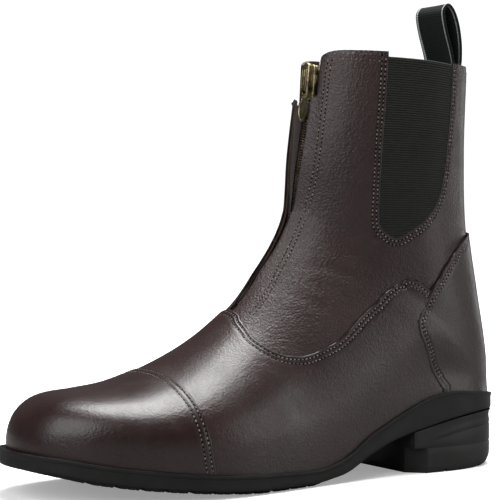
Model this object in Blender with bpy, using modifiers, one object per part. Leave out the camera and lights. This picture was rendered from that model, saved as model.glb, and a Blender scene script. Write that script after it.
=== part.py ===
"""Left paddock boot with a front zip and elastic side gores, standing empty on its sole.

The toe points along -X, the outer (lateral) side lies along -Y and +Z is up. The origin is
the middle of the boot's box, on the floor. Every leather piece is laid on one form, the last,
which is lofted through the rows of SECTIONS.
"""
import math

import bmesh
import bpy
import numpy as np
from mathutils import Matrix, Vector

# Driving dimensions, in metres
LENGTH = 0.3005
BALL_WIDTH = 0.1115
SHAFT_HEIGHT = 0.231
HEEL_HEIGHT = 0.0305
HEEL_LENGTH = 0.0735
TOE_SPRING = 0.015
SOLE_EDGE = 0.0083
TREAD = 0.0017
WALL = 0.0022
GAP = 0.0003

# Sole and heel details
WELT_EDGE = 0.0035
TOE_SETBACK = 0.0062
HEEL_SETBACK = 0.0041
WELT_LIP = 0.0018
SIDE_STEP = 0.0006
TREAD_INSET = 0.0045
TREAD_GROOVE = 0.0011
TREAD_PITCH = 0.0125
HEEL_INSET = 0.0012
HEEL_CORNER = 0.0100
HEEL_CORNER_HEIGHT = 0.0140
HEEL_BAND = 0.0052
HEEL_BAND_DEPTH = 0.0009
HEEL_SLOT = 0.0018
HEEL_SLOT_DEPTH = 0.0016
HEEL_ROUND = 0.0065
INSOLE = 0.0030

# Leather laid over the upper
LEATHER = 0.0010
COVER = 0.0018
FLAP_RISE = 0.0035
FLAP_REACH = 0.0130
COLLAR_DROP = 0.0035
SEAT_TRIM = 0.0012

# Gores, zip and pull loop
ELASTIC = 0.0016
GORE_SINK = 0.0004
ZIP_SLOT = 0.0052
ZIP_SLOT_TOP = 0.0132
TEETH_WIDTH = 0.0042
TEETH = 0.0016
TAPE = 0.0008
ZIP_SINK = 0.0028
NOTCH_DEPTH = 0.0245
NOTCH_WIDTH = 0.0235
SLIDER_WIDTH = 0.0112
SLIDER_HEIGHT = 0.0208
SLIDER_PLATE = 0.0016
SLIDER_CORE = 0.0064
SLIDER_THROAT = 0.0026
BAIL_WIDTH = 0.0078
BAIL_HEIGHT = 0.0188
BAIL_RISE = 0.0027
BAIL_ROUND = 0.0010
PIN = 0.0012
PIN_HEIGHT = 0.0022
PIN_CLEARANCE = 0.0003
EYE_WALL = 0.0006
EYE_WIDTH = 0.0050
TAB_WIDTH = 0.0094
TAB_LENGTH = 0.0146
TAB = 0.0012
LOOP_WIDTH = 0.0265
LOOP_HEIGHT = 0.0368
LOOP_TAPE = 0.0016
LOOP_FOOT = 0.0130

# Outline of the sole: share of LENGTH from the toe, then the half-widths as shares of BALL_WIDTH
PLAN_COLUMNS = ("along", "lateral", "medial")
PLAN = [
    (0.000, 0.000, 0.000),
    (0.016, 0.185, 0.195),
    (0.060, 0.330, 0.335),
    (0.130, 0.430, 0.420),
    (0.220, 0.495, 0.465),
    (0.320, 0.520, 0.455),
    (0.430, 0.480, 0.390),
    (0.550, 0.410, 0.305),
    (0.670, 0.355, 0.290),
    (0.780, 0.330, 0.315),
    (0.870, 0.320, 0.320),
    (0.945, 0.260, 0.262),
    (0.985, 0.150, 0.152),
    (1.000, 0.000, 0.000),
]

# Side view of the sole: share of LENGTH, underside as a share of the heel's height over the
# tread, toe spring as a share of TOE_SPRING, edge as a share of SOLE_EDGE, depth of the tread
SOLE_COLUMNS = ("along", "lift", "spring", "edge", "tread")
SOLE = [
    (0.00, 0.00, 1.000, 0.93, 0.0),
    (0.05, 0.00, 0.855, 1.00, 0.7),
    (0.10, 0.00, 0.650, 1.03, 1.0),
    (0.15, 0.00, 0.490, 1.03, 1.0),
    (0.20, 0.00, 0.360, 1.03, 1.0),
    (0.26, 0.00, 0.230, 1.00, 1.0),
    (0.33, 0.00, 0.100, 1.00, 1.0),
    (0.40, 0.00, 0.000, 1.02, 1.0),
    (0.46, 0.00, 0.000, 0.95, 1.0),
    (0.52, 0.00, 0.000, 0.88, 1.0),
    (0.56, 0.05, 0.000, 0.92, 0.0),
    (0.60, 0.14, 0.000, 1.12, 0.0),
    (0.65, 0.39, 0.000, 1.32, 0.0),
    (0.70, 0.60, 0.000, 1.43, 0.0),
    (0.75, 0.74, 0.000, 1.75, 0.0),
    (0.80, 0.85, 0.000, 2.00, 0.0),
    (0.85, 0.96, 0.000, 1.87, 0.0),
    (0.90, 1.03, 0.000, 1.50, 0.0),
    (0.95, 1.06, 0.000, 1.22, 0.0),
    (1.00, 1.03, 0.000, 1.05, 0.0),
]

# The last's sections fan round the heel, from upright at the toe to level at the collar.
# foot and back place a section's lower end: share of LENGTH, and share of the back's height.
# top and height place its upper end: shares of LENGTH and SHAFT_HEIGHT. Then the half-widths
# as shares of BALL_WIDTH, where the section is widest, how full its top is, and its bow.
SECTION_COLUMNS = ("foot", "back", "top", "height", "lateral", "medial", "widest", "full", "bow")
SECTIONS = [
    (0.000, 0.00, 0.070, 0.211, 0.000, 0.000, 0.30, 2.8, 0.19),
    (0.016, 0.00, 0.078, 0.213, 0.175, 0.180, 0.30, 2.8, 0.15),
    (0.060, 0.00, 0.105, 0.218, 0.303, 0.310, 0.30, 2.8, 0.08),
    (0.130, 0.00, 0.150, 0.223, 0.398, 0.388, 0.30, 2.6, 0.02),
    (0.220, 0.00, 0.216, 0.237, 0.463, 0.430, 0.28, 2.4, 0.00),
    (0.320, 0.00, 0.293, 0.275, 0.488, 0.428, 0.28, 2.2, 0.00),
    (0.430, 0.00, 0.370, 0.331, 0.455, 0.375, 0.27, 2.1, 0.00),
    (0.550, 0.00, 0.436, 0.401, 0.403, 0.326, 0.28, 2.0, 0.00),
    (0.670, 0.00, 0.487, 0.466, 0.368, 0.315, 0.30, 2.0, 0.00),
    (0.780, 0.00, 0.518, 0.517, 0.345, 0.315, 0.34, 2.0, 0.00),
    (0.870, 0.00, 0.537, 0.555, 0.335, 0.320, 0.38, 2.0, 0.00),
    (0.945, 0.00, 0.551, 0.590, 0.330, 0.320, 0.42, 2.0, 0.00),
    (0.990, 0.00, 0.558, 0.616, 0.325, 0.318, 0.45, 2.0, 0.00),
    (1.000, 0.00, 0.562, 0.637, 0.320, 0.316, 0.47, 2.0, 0.00),
    (0.992, 0.13, 0.565, 0.686, 0.322, 0.318, 0.48, 2.0, 0.00),
    (0.971, 0.30, 0.568, 0.749, 0.328, 0.322, 0.49, 2.0, 0.00),
    (0.950, 0.50, 0.575, 0.824, 0.335, 0.330, 0.50, 2.0, 0.00),
    (0.946, 0.74, 0.584, 0.908, 0.345, 0.340, 0.50, 2.0, 0.00),
    (0.952, 1.00, 0.591, 1.000, 0.350, 0.350, 0.50, 2.0, 0.00),
]
HEEL_ROW = 13
STRAIGHT_HEEL = (8.0, 11.0)
ROW_REACH = 0.2
COLLAR_ROW = 18
STEPS_PER_ROW = (2, 2, 2, 1, 1, 2, 2, 2, 1, 1, 2, 2, 2, 2, 2, 1, 1, 2)
ROUND_STEPS = 9
FRONT_TURNS = (0.92, 0.965, 1.0)

# Seams seen from the side: share of LENGTH from the toe, share of SHAFT_HEIGHT
TOE_CAP_SEAM = [(0.264, 0.330), (0.268, 0.275), (0.273, 0.235), (0.277, 0.190), (0.282, 0.155),
                (0.287, 0.120), (0.293, 0.083), (0.300, 0.030)]
VAMP_SEAM = [(0.436, 0.440), (0.433, 0.395), (0.428, 0.370), (0.427, 0.350), (0.431, 0.337),
             (0.440, 0.326), (0.455, 0.313), (0.476, 0.303), (0.502, 0.299), (0.528, 0.303),
             (0.556, 0.314), (0.587, 0.330), (0.615, 0.354), (0.645, 0.385), (0.674, 0.409),
             (0.703, 0.435), (0.725, 0.454), (0.746, 0.464), (0.767, 0.461), (0.782, 0.448),
             (0.798, 0.428), (0.815, 0.400)]
COUNTER_SEAM = [(0.840, 0.130), (0.833, 0.197), (0.820, 0.232), (0.807, 0.264), (0.788, 0.302),
                (0.771, 0.333), (0.767, 0.352), (0.769, 0.374), (0.778, 0.397), (0.796, 0.428),
                (0.816, 0.462), (0.840, 0.502), (0.880, 0.547), (0.925, 0.585), (0.965, 0.607),
                (1.030, 0.612)]
GORE_SEAM = [(0.698, 1.060), (0.697, 0.970), (0.696, 0.860), (0.696, 0.710), (0.693, 0.625),
             (0.695, 0.595), (0.705, 0.574), (0.722, 0.565), (0.743, 0.571), (0.765, 0.590),
             (0.784, 0.612), (0.800, 0.637), (0.814, 0.666), (0.825, 0.697), (0.831, 0.735),
             (0.835, 0.794), (0.842, 0.869), (0.846, 0.947), (0.851, 1.060)]
BEFORE_TOE_CAP = [(-0.10, -0.10), (-0.10, 0.60)]
BELOW_VAMP = [(0.95, -0.10), (0.10, -0.10), (0.10, 0.60)]
BEHIND_COUNTER = [(1.20, 0.66), (1.20, -0.20), (0.85, -0.20)]
ZIP_FOOT_ROW = 7.0
FLAP_FADE = (6.9, 8.3)
FLAP_END = (17.0, 17.5)
SLOT_FLARE = (13.5, 16.8)
SINK_ROWS = (13.2, 16.6)

# Pull loop from its back foot over the fold to its front foot: forward share of its depth,
# share of LOOP_HEIGHT above the collar's back, and how far it follows the wall's curve
LOOP_DEPTH = 0.0130
LOOP_COLUMNS = ("forward", "up", "curve")
LOOP_PATH = [
    (0.00, -0.38, 1.0),
    (0.00, 0.00, 1.0),
    (0.00, 0.15, 0.8),
    (0.08, 0.42, 0.5),
    (0.26, 0.70, 0.3),
    (0.50, 0.90, 0.2),
    (0.76, 0.99, 0.2),
    (0.96, 0.93, 0.2),
    (1.00, 0.82, 0.2),
    (0.84, 0.58, 0.3),
    (0.60, 0.34, 0.5),
    (0.38, 0.12, 0.8),
    (0.30, 0.00, 1.0),
    (0.28, -0.38, 1.0),
]

# Pull tab from its eye to its tip: half-width as a share of TAB_WIDTH / 2, drop of TAB_LENGTH
TAB_OUTLINE = [(0.57, -0.02), (0.57, 0.16), (0.90, 0.24), (1.00, 0.34), (1.00, 0.56), (0.86, 0.74),
               (0.52, 0.90), (0.20, 0.98), (0.00, 1.00)]

COLORS = {
    "leather": (0.060, 0.036, 0.030, 0.42),
    "rubber": (0.030, 0.031, 0.028, 0.75),
    "elastic": (0.018, 0.019, 0.018, 0.85),
    "lining": (0.120, 0.090, 0.070, 0.80),
    "webbing": (0.020, 0.026, 0.024, 0.80),
    "brass": (0.300, 0.230, 0.120, 0.38),
}


def smooth(share):
    """Share from 0 to 1 with soft ends."""
    share = np.clip(share, 0, 1)
    return share ** 2 * (3 - 2 * share)


def spline(rows, at):
    """Smooth curve through the rows of a table, read at row numbers."""
    rows = np.asarray(rows, float)
    at = np.clip(np.asarray(at, float), 0, len(rows) - 1)
    k = np.minimum(np.floor(at).astype(int), len(rows) - 2)
    t = (at - k)[..., None]
    ends = np.vstack([2 * rows[0] - rows[1], rows, 2 * rows[-1] - rows[-2]])
    a, b, c, d = (ends[k + i] for i in range(4))
    return 0.5 * (2 * b + (c - a) * t + (2 * a - 5 * b + 4 * c - d) * t ** 2
                  + (3 * b - a - 3 * c + d) * t ** 3)


def closed_ends(rows, held):
    """Table whose ends turn back on themselves: the held columns mirror, the others cross zero."""
    rows = np.asarray(rows, float)
    first, last = rows[1].copy(), rows[-2].copy()
    for column in range(rows.shape[1]):
        if column not in held:
            first[column] = 2 * rows[0][column] - rows[1][column]
            last[column] = 2 * rows[-1][column] - rows[-2][column]
    return np.vstack([first, rows, last])


def named(table, columns):
    """Columns of a table by name."""
    return dict(zip(columns, np.moveaxis(np.asarray(table, float), -1, 0)))


PLAN_CURVE = named(spline(closed_ends(PLAN, (0,)), np.linspace(1, len(PLAN), 600)), PLAN_COLUMNS)
SOLE_CURVE = named(spline(SOLE, np.linspace(0, len(SOLE) - 1, 400)), SOLE_COLUMNS)
SIDE_SHIFT = BALL_WIDTH * (PLAN_CURVE["lateral"].max() - PLAN_CURVE["medial"].max()) / 2


def edge_width(along, side, inset=0.0):
    """Half-width of the sole's outline on one side (-1 lateral, 1 medial), drawn in by inset."""
    end = inset / LENGTH
    column = PLAN_CURVE["lateral" if side < 0 else "medial"]
    width = np.interp((np.asarray(along) - end) / (1 - 2 * end), PLAN_CURVE["along"], column)
    return np.maximum(width * BALL_WIDTH * (1 - inset / (0.45 * BALL_WIDTH)), 0.0)


def strip_bottom(along):
    """Height of the sole strip's underside."""
    lift = np.interp(along, SOLE_CURVE["along"], SOLE_CURVE["lift"])
    spring = np.interp(along, SOLE_CURVE["along"], SOLE_CURVE["spring"])
    return TREAD + np.maximum(lift, 0) * (HEEL_HEIGHT - TREAD) + np.maximum(spring, 0) * TOE_SPRING


def strip_top(along):
    """Height of the sole strip's upper face, where the upper is seated."""
    return strip_bottom(along) + SOLE_EDGE * np.interp(along, SOLE_CURVE["along"], SOLE_CURVE["edge"])


def tread_depth(along):
    """Depth of the forefoot tread under the strip."""
    share = np.interp(along, SOLE_CURVE["along"], SOLE_CURVE["tread"])
    return TREAD * np.clip(share, 0, 1)


def section_rows():
    """SECTIONS with its toe end closed, so that row k reads at k + 1."""
    rows = np.asarray(SECTIONS, float)
    toe = rows[1].copy()
    toe[4:6] = -toe[4:6]
    return np.vstack([toe, rows])


SECTION_ROWS = section_rows()


def foot_along(share):
    """Place of a section's lower end along the sole."""
    return (TOE_SETBACK + share * (LENGTH - TOE_SETBACK - HEEL_SETBACK)) / LENGTH


def last_point(row, across):
    """Point on the last. row runs through SECTIONS; across runs from -1 at the lateral edge of
    the sole or the back seam, over 0 at the front line, to 1 at the medial edge or back seam."""
    row, across = np.broadcast_arrays(np.asarray(row, float), np.asarray(across, float))
    c = named(spline(SECTION_ROWS, row + 1), SECTION_COLUMNS)
    side = np.where(across < 0, -1.0, 1.0)
    turn = 1 - np.abs(across)
    seat = strip_top(foot_along(c["foot"])) - SEAT_TRIM
    back_top = SHAFT_HEIGHT - COLLAR_DROP
    low_x = foot_along(c["foot"]) * LENGTH
    low_z = seat + np.maximum(c["back"], 0) * (back_top - seat)
    width = np.where(side < 0, c["lateral"], c["medial"]) * BALL_WIDTH
    drawn_in = 1 - WELT_EDGE / (0.45 * BALL_WIDTH)
    edge = np.where(side < 0, edge_width(c["foot"], -1), edge_width(c["foot"], 1)) * drawn_in
    edge = np.where(row <= HEEL_ROW, np.minimum(edge, width), 0.0)
    upright = np.where(width < 0.0005, 1.0, edge / np.maximum(width, 0.0005))
    rise_low = np.clip(turn / c["widest"], 0, 1)
    rise_high = np.clip((turn - c["widest"]) / (1 - c["widest"]), 0, 1) * math.pi / 2
    round_share = 1 - np.cos(rise_low * math.pi / 2)
    low_share = c["widest"] * (rise_low * upright + round_share * (1 - upright))
    high_share = c["widest"] + (1 - c["widest"]) * np.sin(rise_high) ** (2 / c["full"])
    share = np.where(turn < c["widest"], low_share, high_share)
    run_x, run_z = c["top"] * LENGTH - low_x, c["height"] * SHAFT_HEIGHT - low_z
    below = np.where(row <= HEEL_ROW, c["foot"], 1.0)
    below = below + run_x * low_share / (LENGTH - TOE_SETBACK - HEEL_SETBACK)
    wall = np.where(side < 0, edge_width(below, -1), edge_width(below, 1)) * drawn_in
    rounded = np.clip(low_share / c["widest"], 0, 1)
    wall = wall + (width * np.sqrt(rounded * (2 - rounded)) - wall) * smooth(rounded)
    low_y = edge + (width - edge) * np.sin(rise_low * math.pi / 2)
    straight = smooth((row - STRAIGHT_HEEL[0]) / (STRAIGHT_HEEL[1] - STRAIGHT_HEEL[0]))
    low_y = low_y + (wall - low_y) * straight
    high_y = width * np.clip(np.cos(rise_high), 0, 1) ** (2 / c["full"])
    y = side * np.where(turn < c["widest"], low_y, high_y)
    bow = c["bow"] * 4 * share * (1 - share)
    x = low_x + run_x * share - np.abs(run_z) * bow
    z = low_z + run_z * share + np.where(run_z > 0, run_x, -run_x) * bow
    return np.stack([x - LENGTH / 2, y + SIDE_SHIFT, z], -1)


def flap_height(row, across, point):
    """How far the zip's flaps lift the leather near the front line."""
    near = (1 - np.abs(point[..., 1] - SIDE_SHIFT) / FLAP_REACH) * (np.abs(across) < 0.5)
    start = (row - FLAP_FADE[0]) / (FLAP_FADE[1] - FLAP_FADE[0])
    end = (FLAP_END[1] - row) / (FLAP_END[1] - FLAP_END[0])
    return FLAP_RISE * smooth(near) * smooth(start) * np.clip(end, 0, 1)


def zip_sink(row):
    """How much deeper the zip runs as it nears its slider."""
    return ZIP_SINK * smooth((row - SINK_ROWS[0]) / (SINK_ROWS[1] - SINK_ROWS[0]))


def last_normal(row, across):
    """Outward direction of the last's surface."""
    step = 0.004
    low, high = np.clip(row - ROW_REACH, 0, COLLAR_ROW), np.clip(row + ROW_REACH, 0, COLLAR_ROW)
    left, right = np.clip(across - step, -1, 1), np.clip(across + step, -1, 1)
    along = last_point(high, across) - last_point(low, across)
    round_it = last_point(row, right) - last_point(row, left)
    normal = np.cross(along, round_it)
    inner, outer = (np.clip(k - np.abs(across), -1, 0) for k in (step, -step))
    rim = last_point(row, inner) - last_point(row, outer)
    toe_line = np.stack([-rim[..., 2], 0 * rim[..., 1], rim[..., 0]], -1)
    normal = np.where((row < step)[..., None], toe_line, normal)
    back_seam = (row >= HEEL_ROW) & (np.abs(across) > 1 - step)
    normal[..., 1] = np.where(back_seam, 0.0, normal[..., 1])
    return normal / np.linalg.norm(normal, axis=-1, keepdims=True)


def on_last(row, across, offset=0.0, lifted=True):
    """Point at a distance outside the last, lifted where the zip's flaps are."""
    row, across = np.broadcast_arrays(np.asarray(row, float), np.asarray(across, float))
    point = last_point(row, across)
    lift = flap_height(row, across, point) if lifted else 0.0 * row
    return point + last_normal(row, across) * (offset + lift)[..., None]


def stations(first=0.0, last=COLLAR_ROW):
    """Rows of the loft between two places, finer where the sections change quickly."""
    rows = [k + i / n for k, n in enumerate(STEPS_PER_ROW) for i in range(n)] + [COLLAR_ROW]
    return [first] + [r for r in rows if first + 0.1 < r < last - 0.1] + [last]


def across_steps(reach=1.0):
    """Columns of the loft from the lateral edge to the medial one, finer near the zip."""
    turns = [0.86 * k / ROUND_STEPS for k in range(ROUND_STEPS + 1)] + list(FRONT_TURNS)
    turns = [t for t in turns if t >= 1 - reach - 1e-6]
    return [t - 1 for t in turns] + [1 - t for t in reversed(turns[:-1])]


def material(name, kind):
    """Principled material for one piece, in the colour of its kind."""
    red, green, blue, roughness = COLORS[kind]
    made = bpy.data.materials.new(f"{name} {kind}")
    made.use_nodes = True
    shader = made.node_tree.nodes["Principled BSDF"]
    shader.inputs["Base Color"].default_value = (red, green, blue, 1.0)
    shader.inputs["Roughness"].default_value = roughness
    shader.inputs["Metallic"].default_value = 1.0 if kind == "brass" else 0.0
    made.diffuse_color = (red, green, blue, 1.0)
    return made


def add_object(name, mesh, collection, colour=None):
    """Object made of a mesh, in a collection, with its material."""
    made = bpy.data.objects.new(name, mesh)
    collection.objects.link(made)
    if colour:
        mesh.materials.append(material(name, colour))
    if collection is CUTTERS:
        made.hide_render = True
        made.display_type = "WIRE"
    return made


def mesh_from(name, bm):
    """Mesh of a finished bmesh with its faces pointing out."""
    bmesh.ops.recalc_face_normals(bm, faces=bm.faces)
    mesh = bpy.data.meshes.new(name)
    bm.to_mesh(mesh)
    bm.free()
    return mesh


def cut(target, cutter, operation="DIFFERENCE"):
    """Boolean of two objects, left on the target as a modifier."""
    step = target.modifiers.new(cutter.name, "BOOLEAN")
    step.operation = operation
    step.solver = "EXACT"
    step.object = cutter


def lasted_sheet(name, rows, columns, offset, thickness, collection, colour=None, lifted=True,
                 front=0.0, sunk=False):
    """Sheet laid on the last at an offset, left open round the front line by a share of the way
    round; a thickness under zero goes towards the foot, and a sunk sheet follows the zip."""
    bm = bmesh.new()
    bmesh.ops.create_grid(bm, x_segments=len(rows) - 1, y_segments=len(columns) - 1, size=1)
    row_at, across_at = (bm.verts.layers.float.new(layer) for layer in ("row", "across"))
    for vertex in bm.verts:
        vertex[row_at] = rows[round((vertex.co.x + 1) / 2 * (len(rows) - 1))]
        vertex[across_at] = columns[round((vertex.co.y + 1) / 2 * (len(columns) - 1))]

    def lay(vertices, distance):
        places = np.array([(v[row_at], v[across_at]) for v in vertices])
        distance = distance - (zip_sink(places[:, 0]) if sunk else 0.0)
        for vertex, place in zip(vertices, on_last(places[:, 0], places[:, 1], distance, lifted)):
            vertex.co = place

    tip = [v for v in bm.verts if v[row_at] < 1e-6 and abs(v[across_at]) < 1e-6]
    for face in [f for v in tip for f in v.link_faces]:
        ring = list(face.verts)
        corner = ring.index(tip[0])
        bmesh.utils.face_split(face, ring[corner], ring[corner - 2])
    lay(bm.verts, 0.0)
    bmesh.ops.triangulate(bm, faces=bm.faces, quad_method="SHORT_EDGE")
    opened = [v for v in bm.verts if abs(v[across_at]) < front]
    bmesh.ops.delete(bm, geom=opened, context="VERTS")
    lay(bm.verts, offset)
    bmesh.ops.remove_doubles(bm, verts=bm.verts, dist=1e-6)
    grown = bmesh.ops.extrude_face_region(bm, geom=bm.faces[:], use_keep_orig=True)["geom"]
    lay([g for g in grown if isinstance(g, bmesh.types.BMVert)], offset + thickness)
    return add_object(name, mesh_from(name, bm), collection, colour)


def loft(name, rings, collection, colour=None):
    """Closed solid through rings that all have the same number of points."""
    bm = bmesh.new()
    loops = [[bm.verts.new(p) for p in ring] for ring in rings]
    for near, far in zip(loops, loops[1:]):
        for k in range(len(near)):
            n = (k + 1) % len(near)
            bm.faces.new((near[k], near[n], far[n], far[k]))
    bm.faces.new(loops[0])
    bm.faces.new(list(reversed(loops[-1])))
    return add_object(name, mesh_from(name, bm), collection, colour)


def side_cutter(name, seam, fence=(), steps=1, reach=0.09):
    """Block through the boot from side to side, outlined by a smooth seam and a straight fence."""
    curve = spline(seam, np.linspace(0, len(seam) - 1, steps * (len(seam) - 1) + 1))
    outline = [*map(tuple, curve), *fence]
    bm = bmesh.new()
    corners = [((a - 0.5) * LENGTH, -reach, h * SHAFT_HEIGHT) for a, h in outline]
    face = bm.faces.new([bm.verts.new(corner) for corner in corners])
    grown = bmesh.ops.extrude_face_region(bm, geom=[face])["geom"]
    moved = [g for g in grown if isinstance(g, bmesh.types.BMVert)]
    bmesh.ops.translate(bm, verts=moved, vec=(0, 2 * reach, 0))
    return add_object(name, mesh_from(name, bm), CUTTERS)


def shifted(outline, x=0.0, z=0.0):
    """Outline moved by real distances."""
    return [(a + x / LENGTH, h + z / SHAFT_HEIGHT) for a, h in outline]


def block(name, low, high, collection, colour=None):
    """Block between two opposite corners."""
    low, high = Vector(low), Vector(high)
    bm = bmesh.new()
    bmesh.ops.create_cube(bm, size=1.0)
    bmesh.ops.scale(bm, verts=bm.verts, vec=high - low)
    bmesh.ops.translate(bm, verts=bm.verts, vec=(low + high) / 2)
    return add_object(name, mesh_from(name, bm), collection, colour)


def box_cutter(name, size, place, turn=0.0):
    """Block turned about the vertical."""
    half = Vector(size) / 2
    made = block(name, -half, half, CUTTERS)
    made.location = place
    made.rotation_euler = (0, 0, turn)
    return made


def below_sole(name, clearance):
    """Everything under the strip's upper face, grown by a clearance."""
    rings = []
    for along in sole_stations():
        x, top = along * LENGTH - LENGTH / 2, float(strip_top(along)) + clearance
        rings.append([(x, -0.09, -0.02), (x, 0.09, -0.02), (x, 0.09, top), (x, -0.09, top)])
    first, last = rings[0], rings[-1]
    rings.insert(0, [(p[0] - 0.02, p[1], p[2]) for p in first])
    rings.append([(p[0] + 0.02, p[1], p[2]) for p in last])
    return loft(name, rings, CUTTERS)


def sole_stations():
    """Places along the sole, shared with the upper's sections."""
    rows = [r for r in stations() if r <= HEEL_ROW]
    foot = spline(SECTION_ROWS, np.array(rows) + 1)[:, 0]
    inner = [float(foot_along(f)) for f in foot]
    ends = [0.0006, 0.004, 0.010, 0.998, 0.9994]
    places = sorted(p for p in inner + ends if 0 < p < 1)
    return [p for k, p in enumerate(places) if k == 0 or p - places[k - 1] > 0.0004]


def build_outsole():
    """Sole strip with its welt lip and stepped side, and the forefoot tread under it."""
    rings = []
    for along in sole_stations():
        x = along * LENGTH - LENGTH / 2
        top, bottom = float(strip_top(along)), float(strip_bottom(along))
        tread = float(tread_depth(along))
        lateral, medial = (float(edge_width(along, side)) for side in (-1, 1))
        half = []
        for width in (lateral, medial):
            step = min(SIDE_STEP, width * 0.3)
            chamfer = min(0.0012, width * 0.4)
            inset = min(TREAD_INSET, width * 0.6)
            half.append([(width, top), (width, top - WELT_LIP), (width - step, top - WELT_LIP - SIDE_STEP),
                         (width - step, bottom + 0.0012), (width - step - chamfer, bottom),
                         (width - inset, bottom), (width - inset - 0.0005, bottom - tread)])
        ring = [(x, SIDE_SHIFT - y, z) for y, z in half[0]]
        ring += [(x, SIDE_SHIFT + y, z) for y, z in reversed(half[1])]
        rings.append(ring)
    sole = loft("outsole", rings, PARTS, "rubber")
    grooves = []
    x = -0.41 * LENGTH
    while x < 0.02 * LENGTH:
        grooves.append(x)
        x += TREAD_PITCH
    for k, x in enumerate(grooves):
        along = x / LENGTH + 0.5
        under = float(strip_bottom(along) - tread_depth(along))
        size = (0.0022, 0.16, 2 * TREAD_GROOVE)
        cut(sole, box_cutter(f"tread_groove_{k + 1}", size, (x, 0, under)))
    return sole


def heel_ring(height, inset, end_round):
    """Outline of the heel block at a height, its back drawn in where the lower edge is rounded."""
    front = 1 - HEEL_LENGTH / LENGTH
    places = front + (0.9992 - front) * np.sin(np.linspace(0, math.pi / 2, 13))
    start, end = front * LENGTH, LENGTH - end_round - inset
    squeeze = (end - start) / (LENGTH - start)
    drawn_in = 1 - inset / (0.45 * BALL_WIDTH)
    sides = []
    for side in (-1, 1):
        widths = edge_width(places, side) * drawn_in
        xs = start + (places * LENGTH - start) * squeeze - LENGTH / 2
        sides.append([(float(x), SIDE_SHIFT + side * float(w), height) for x, w in zip(xs, widths)])
    return sides[0] + sides[1][::-1]


def build_heel():
    """Heel block under the strip, with its waist band, cut front corners and worn-in slots."""
    levels = [(0.0, HEEL_ROUND), (0.0012, HEEL_ROUND * 0.58), (0.003, HEEL_ROUND * 0.27),
              (0.0058, HEEL_ROUND * 0.05), (0.012, 0.0), (HEEL_HEIGHT + 2 * SOLE_EDGE, 0.0)]
    heel = loft("heel", [heel_ring(z, HEEL_INSET, end) for z, end in levels], PARTS, "rubber")
    above, band = [], []
    for along in [place for place in sole_stations() if place > 0.66] + [1.02]:
        x, under = along * LENGTH - LENGTH / 2, float(strip_bottom(along))
        above.append([(x, -0.09, under - GAP), (x, 0.09, under - GAP), (x, 0.09, 0.09), (x, -0.09, 0.09)])
        low = under - HEEL_BAND
        band.append([(x, -0.09, low), (x, 0.09, low), (x, 0.09, 0.09), (x, -0.09, 0.09)])
    core_inset = HEEL_INSET + HEEL_BAND_DEPTH
    core = loft("heel_core", [heel_ring(z, core_inset, 0.0) for z in (-0.01, 0.10)], CUTTERS)
    ring = loft("heel_band", band, CUTTERS)
    cut(ring, core)
    behind = box_cutter("band_front", (0.06, 0.2, 0.2), (0.5 * LENGTH - HEEL_LENGTH - 0.0130, 0, 0.05))
    cut(ring, behind)
    cut(heel, loft("over_heel", above, CUTTERS))
    cut(heel, ring)
    front = 0.5 * LENGTH - HEEL_LENGTH
    for name, side in (("lateral", -1), ("medial", 1)):
        width = float(edge_width(1 - HEEL_LENGTH / LENGTH, side)) * (1 - HEEL_INSET / (0.45 * BALL_WIDTH))
        size = (HEEL_CORNER * math.sqrt(2), HEEL_CORNER * math.sqrt(2), 2 * HEEL_CORNER_HEIGHT)
        y = SIDE_SHIFT + side * width
        cut(heel, box_cutter(f"heel_corner_{name}", size, (front, y, 0), math.pi / 4))
    for k, share in enumerate((0.30, 0.68)):
        place = (front + share * HEEL_LENGTH, 0, 0)
        cut(heel, box_cutter(f"heel_slot_{k + 1}", (HEEL_SLOT, 0.16, 2 * HEEL_SLOT_DEPTH), place))
    return heel


def build_insole():
    """Insole inside the upper, seated on the strip."""
    clearance = WALL + 2 * GAP
    rings = []
    for row in [r for r in stations() if r <= HEEL_ROW]:
        point = last_point(row, np.array([-1.0, 1.0]))
        x = float(point[0, 0])
        foot = x / LENGTH + 0.5
        squeeze = 1 - 2.4 * clearance / LENGTH
        x = x * squeeze
        scale = 1 - clearance / (0.45 * BALL_WIDTH)
        lateral = min((SIDE_SHIFT - point[0, 1]) * scale, SIDE_SHIFT - point[0, 1] - clearance)
        medial = min((point[1, 1] - SIDE_SHIFT) * scale, point[1, 1] - SIDE_SHIFT - clearance)
        if min(lateral, medial) < 0.004:
            continue
        low = float(strip_top(foot)) + 2 * GAP
        ring = [(x, SIDE_SHIFT - lateral, low), (x, SIDE_SHIFT - lateral, low + INSOLE - 0.0008),
                (x, SIDE_SHIFT - lateral + 0.0012, low + INSOLE),
                (x, SIDE_SHIFT + medial - 0.0012, low + INSOLE),
                (x, SIDE_SHIFT + medial, low + INSOLE - 0.0008), (x, SIDE_SHIFT + medial, low)]
        rings.append(ring)
    return loft("insole", rings, PARTS, "lining")


def gore_outline(shrink=0.0):
    """Gore's outline, drawn in all round by a distance."""
    middle = 0.77
    drawn = []
    for a, h in GORE_SEAM:
        inward = shrink / LENGTH if a < middle else -shrink / LENGTH
        drawn.append((a + inward, h + (shrink / SHAFT_HEIGHT if h < 0.62 else 0)))
    return drawn


def slot_width(row):
    """Width between the zip's flaps, which spread below the slider."""
    flare = min(max((row - SLOT_FLARE[0]) / (SLOT_FLARE[1] - SLOT_FLARE[0]), 0), 1)
    return ZIP_SLOT + (ZIP_SLOT_TOP - ZIP_SLOT) * flare


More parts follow.
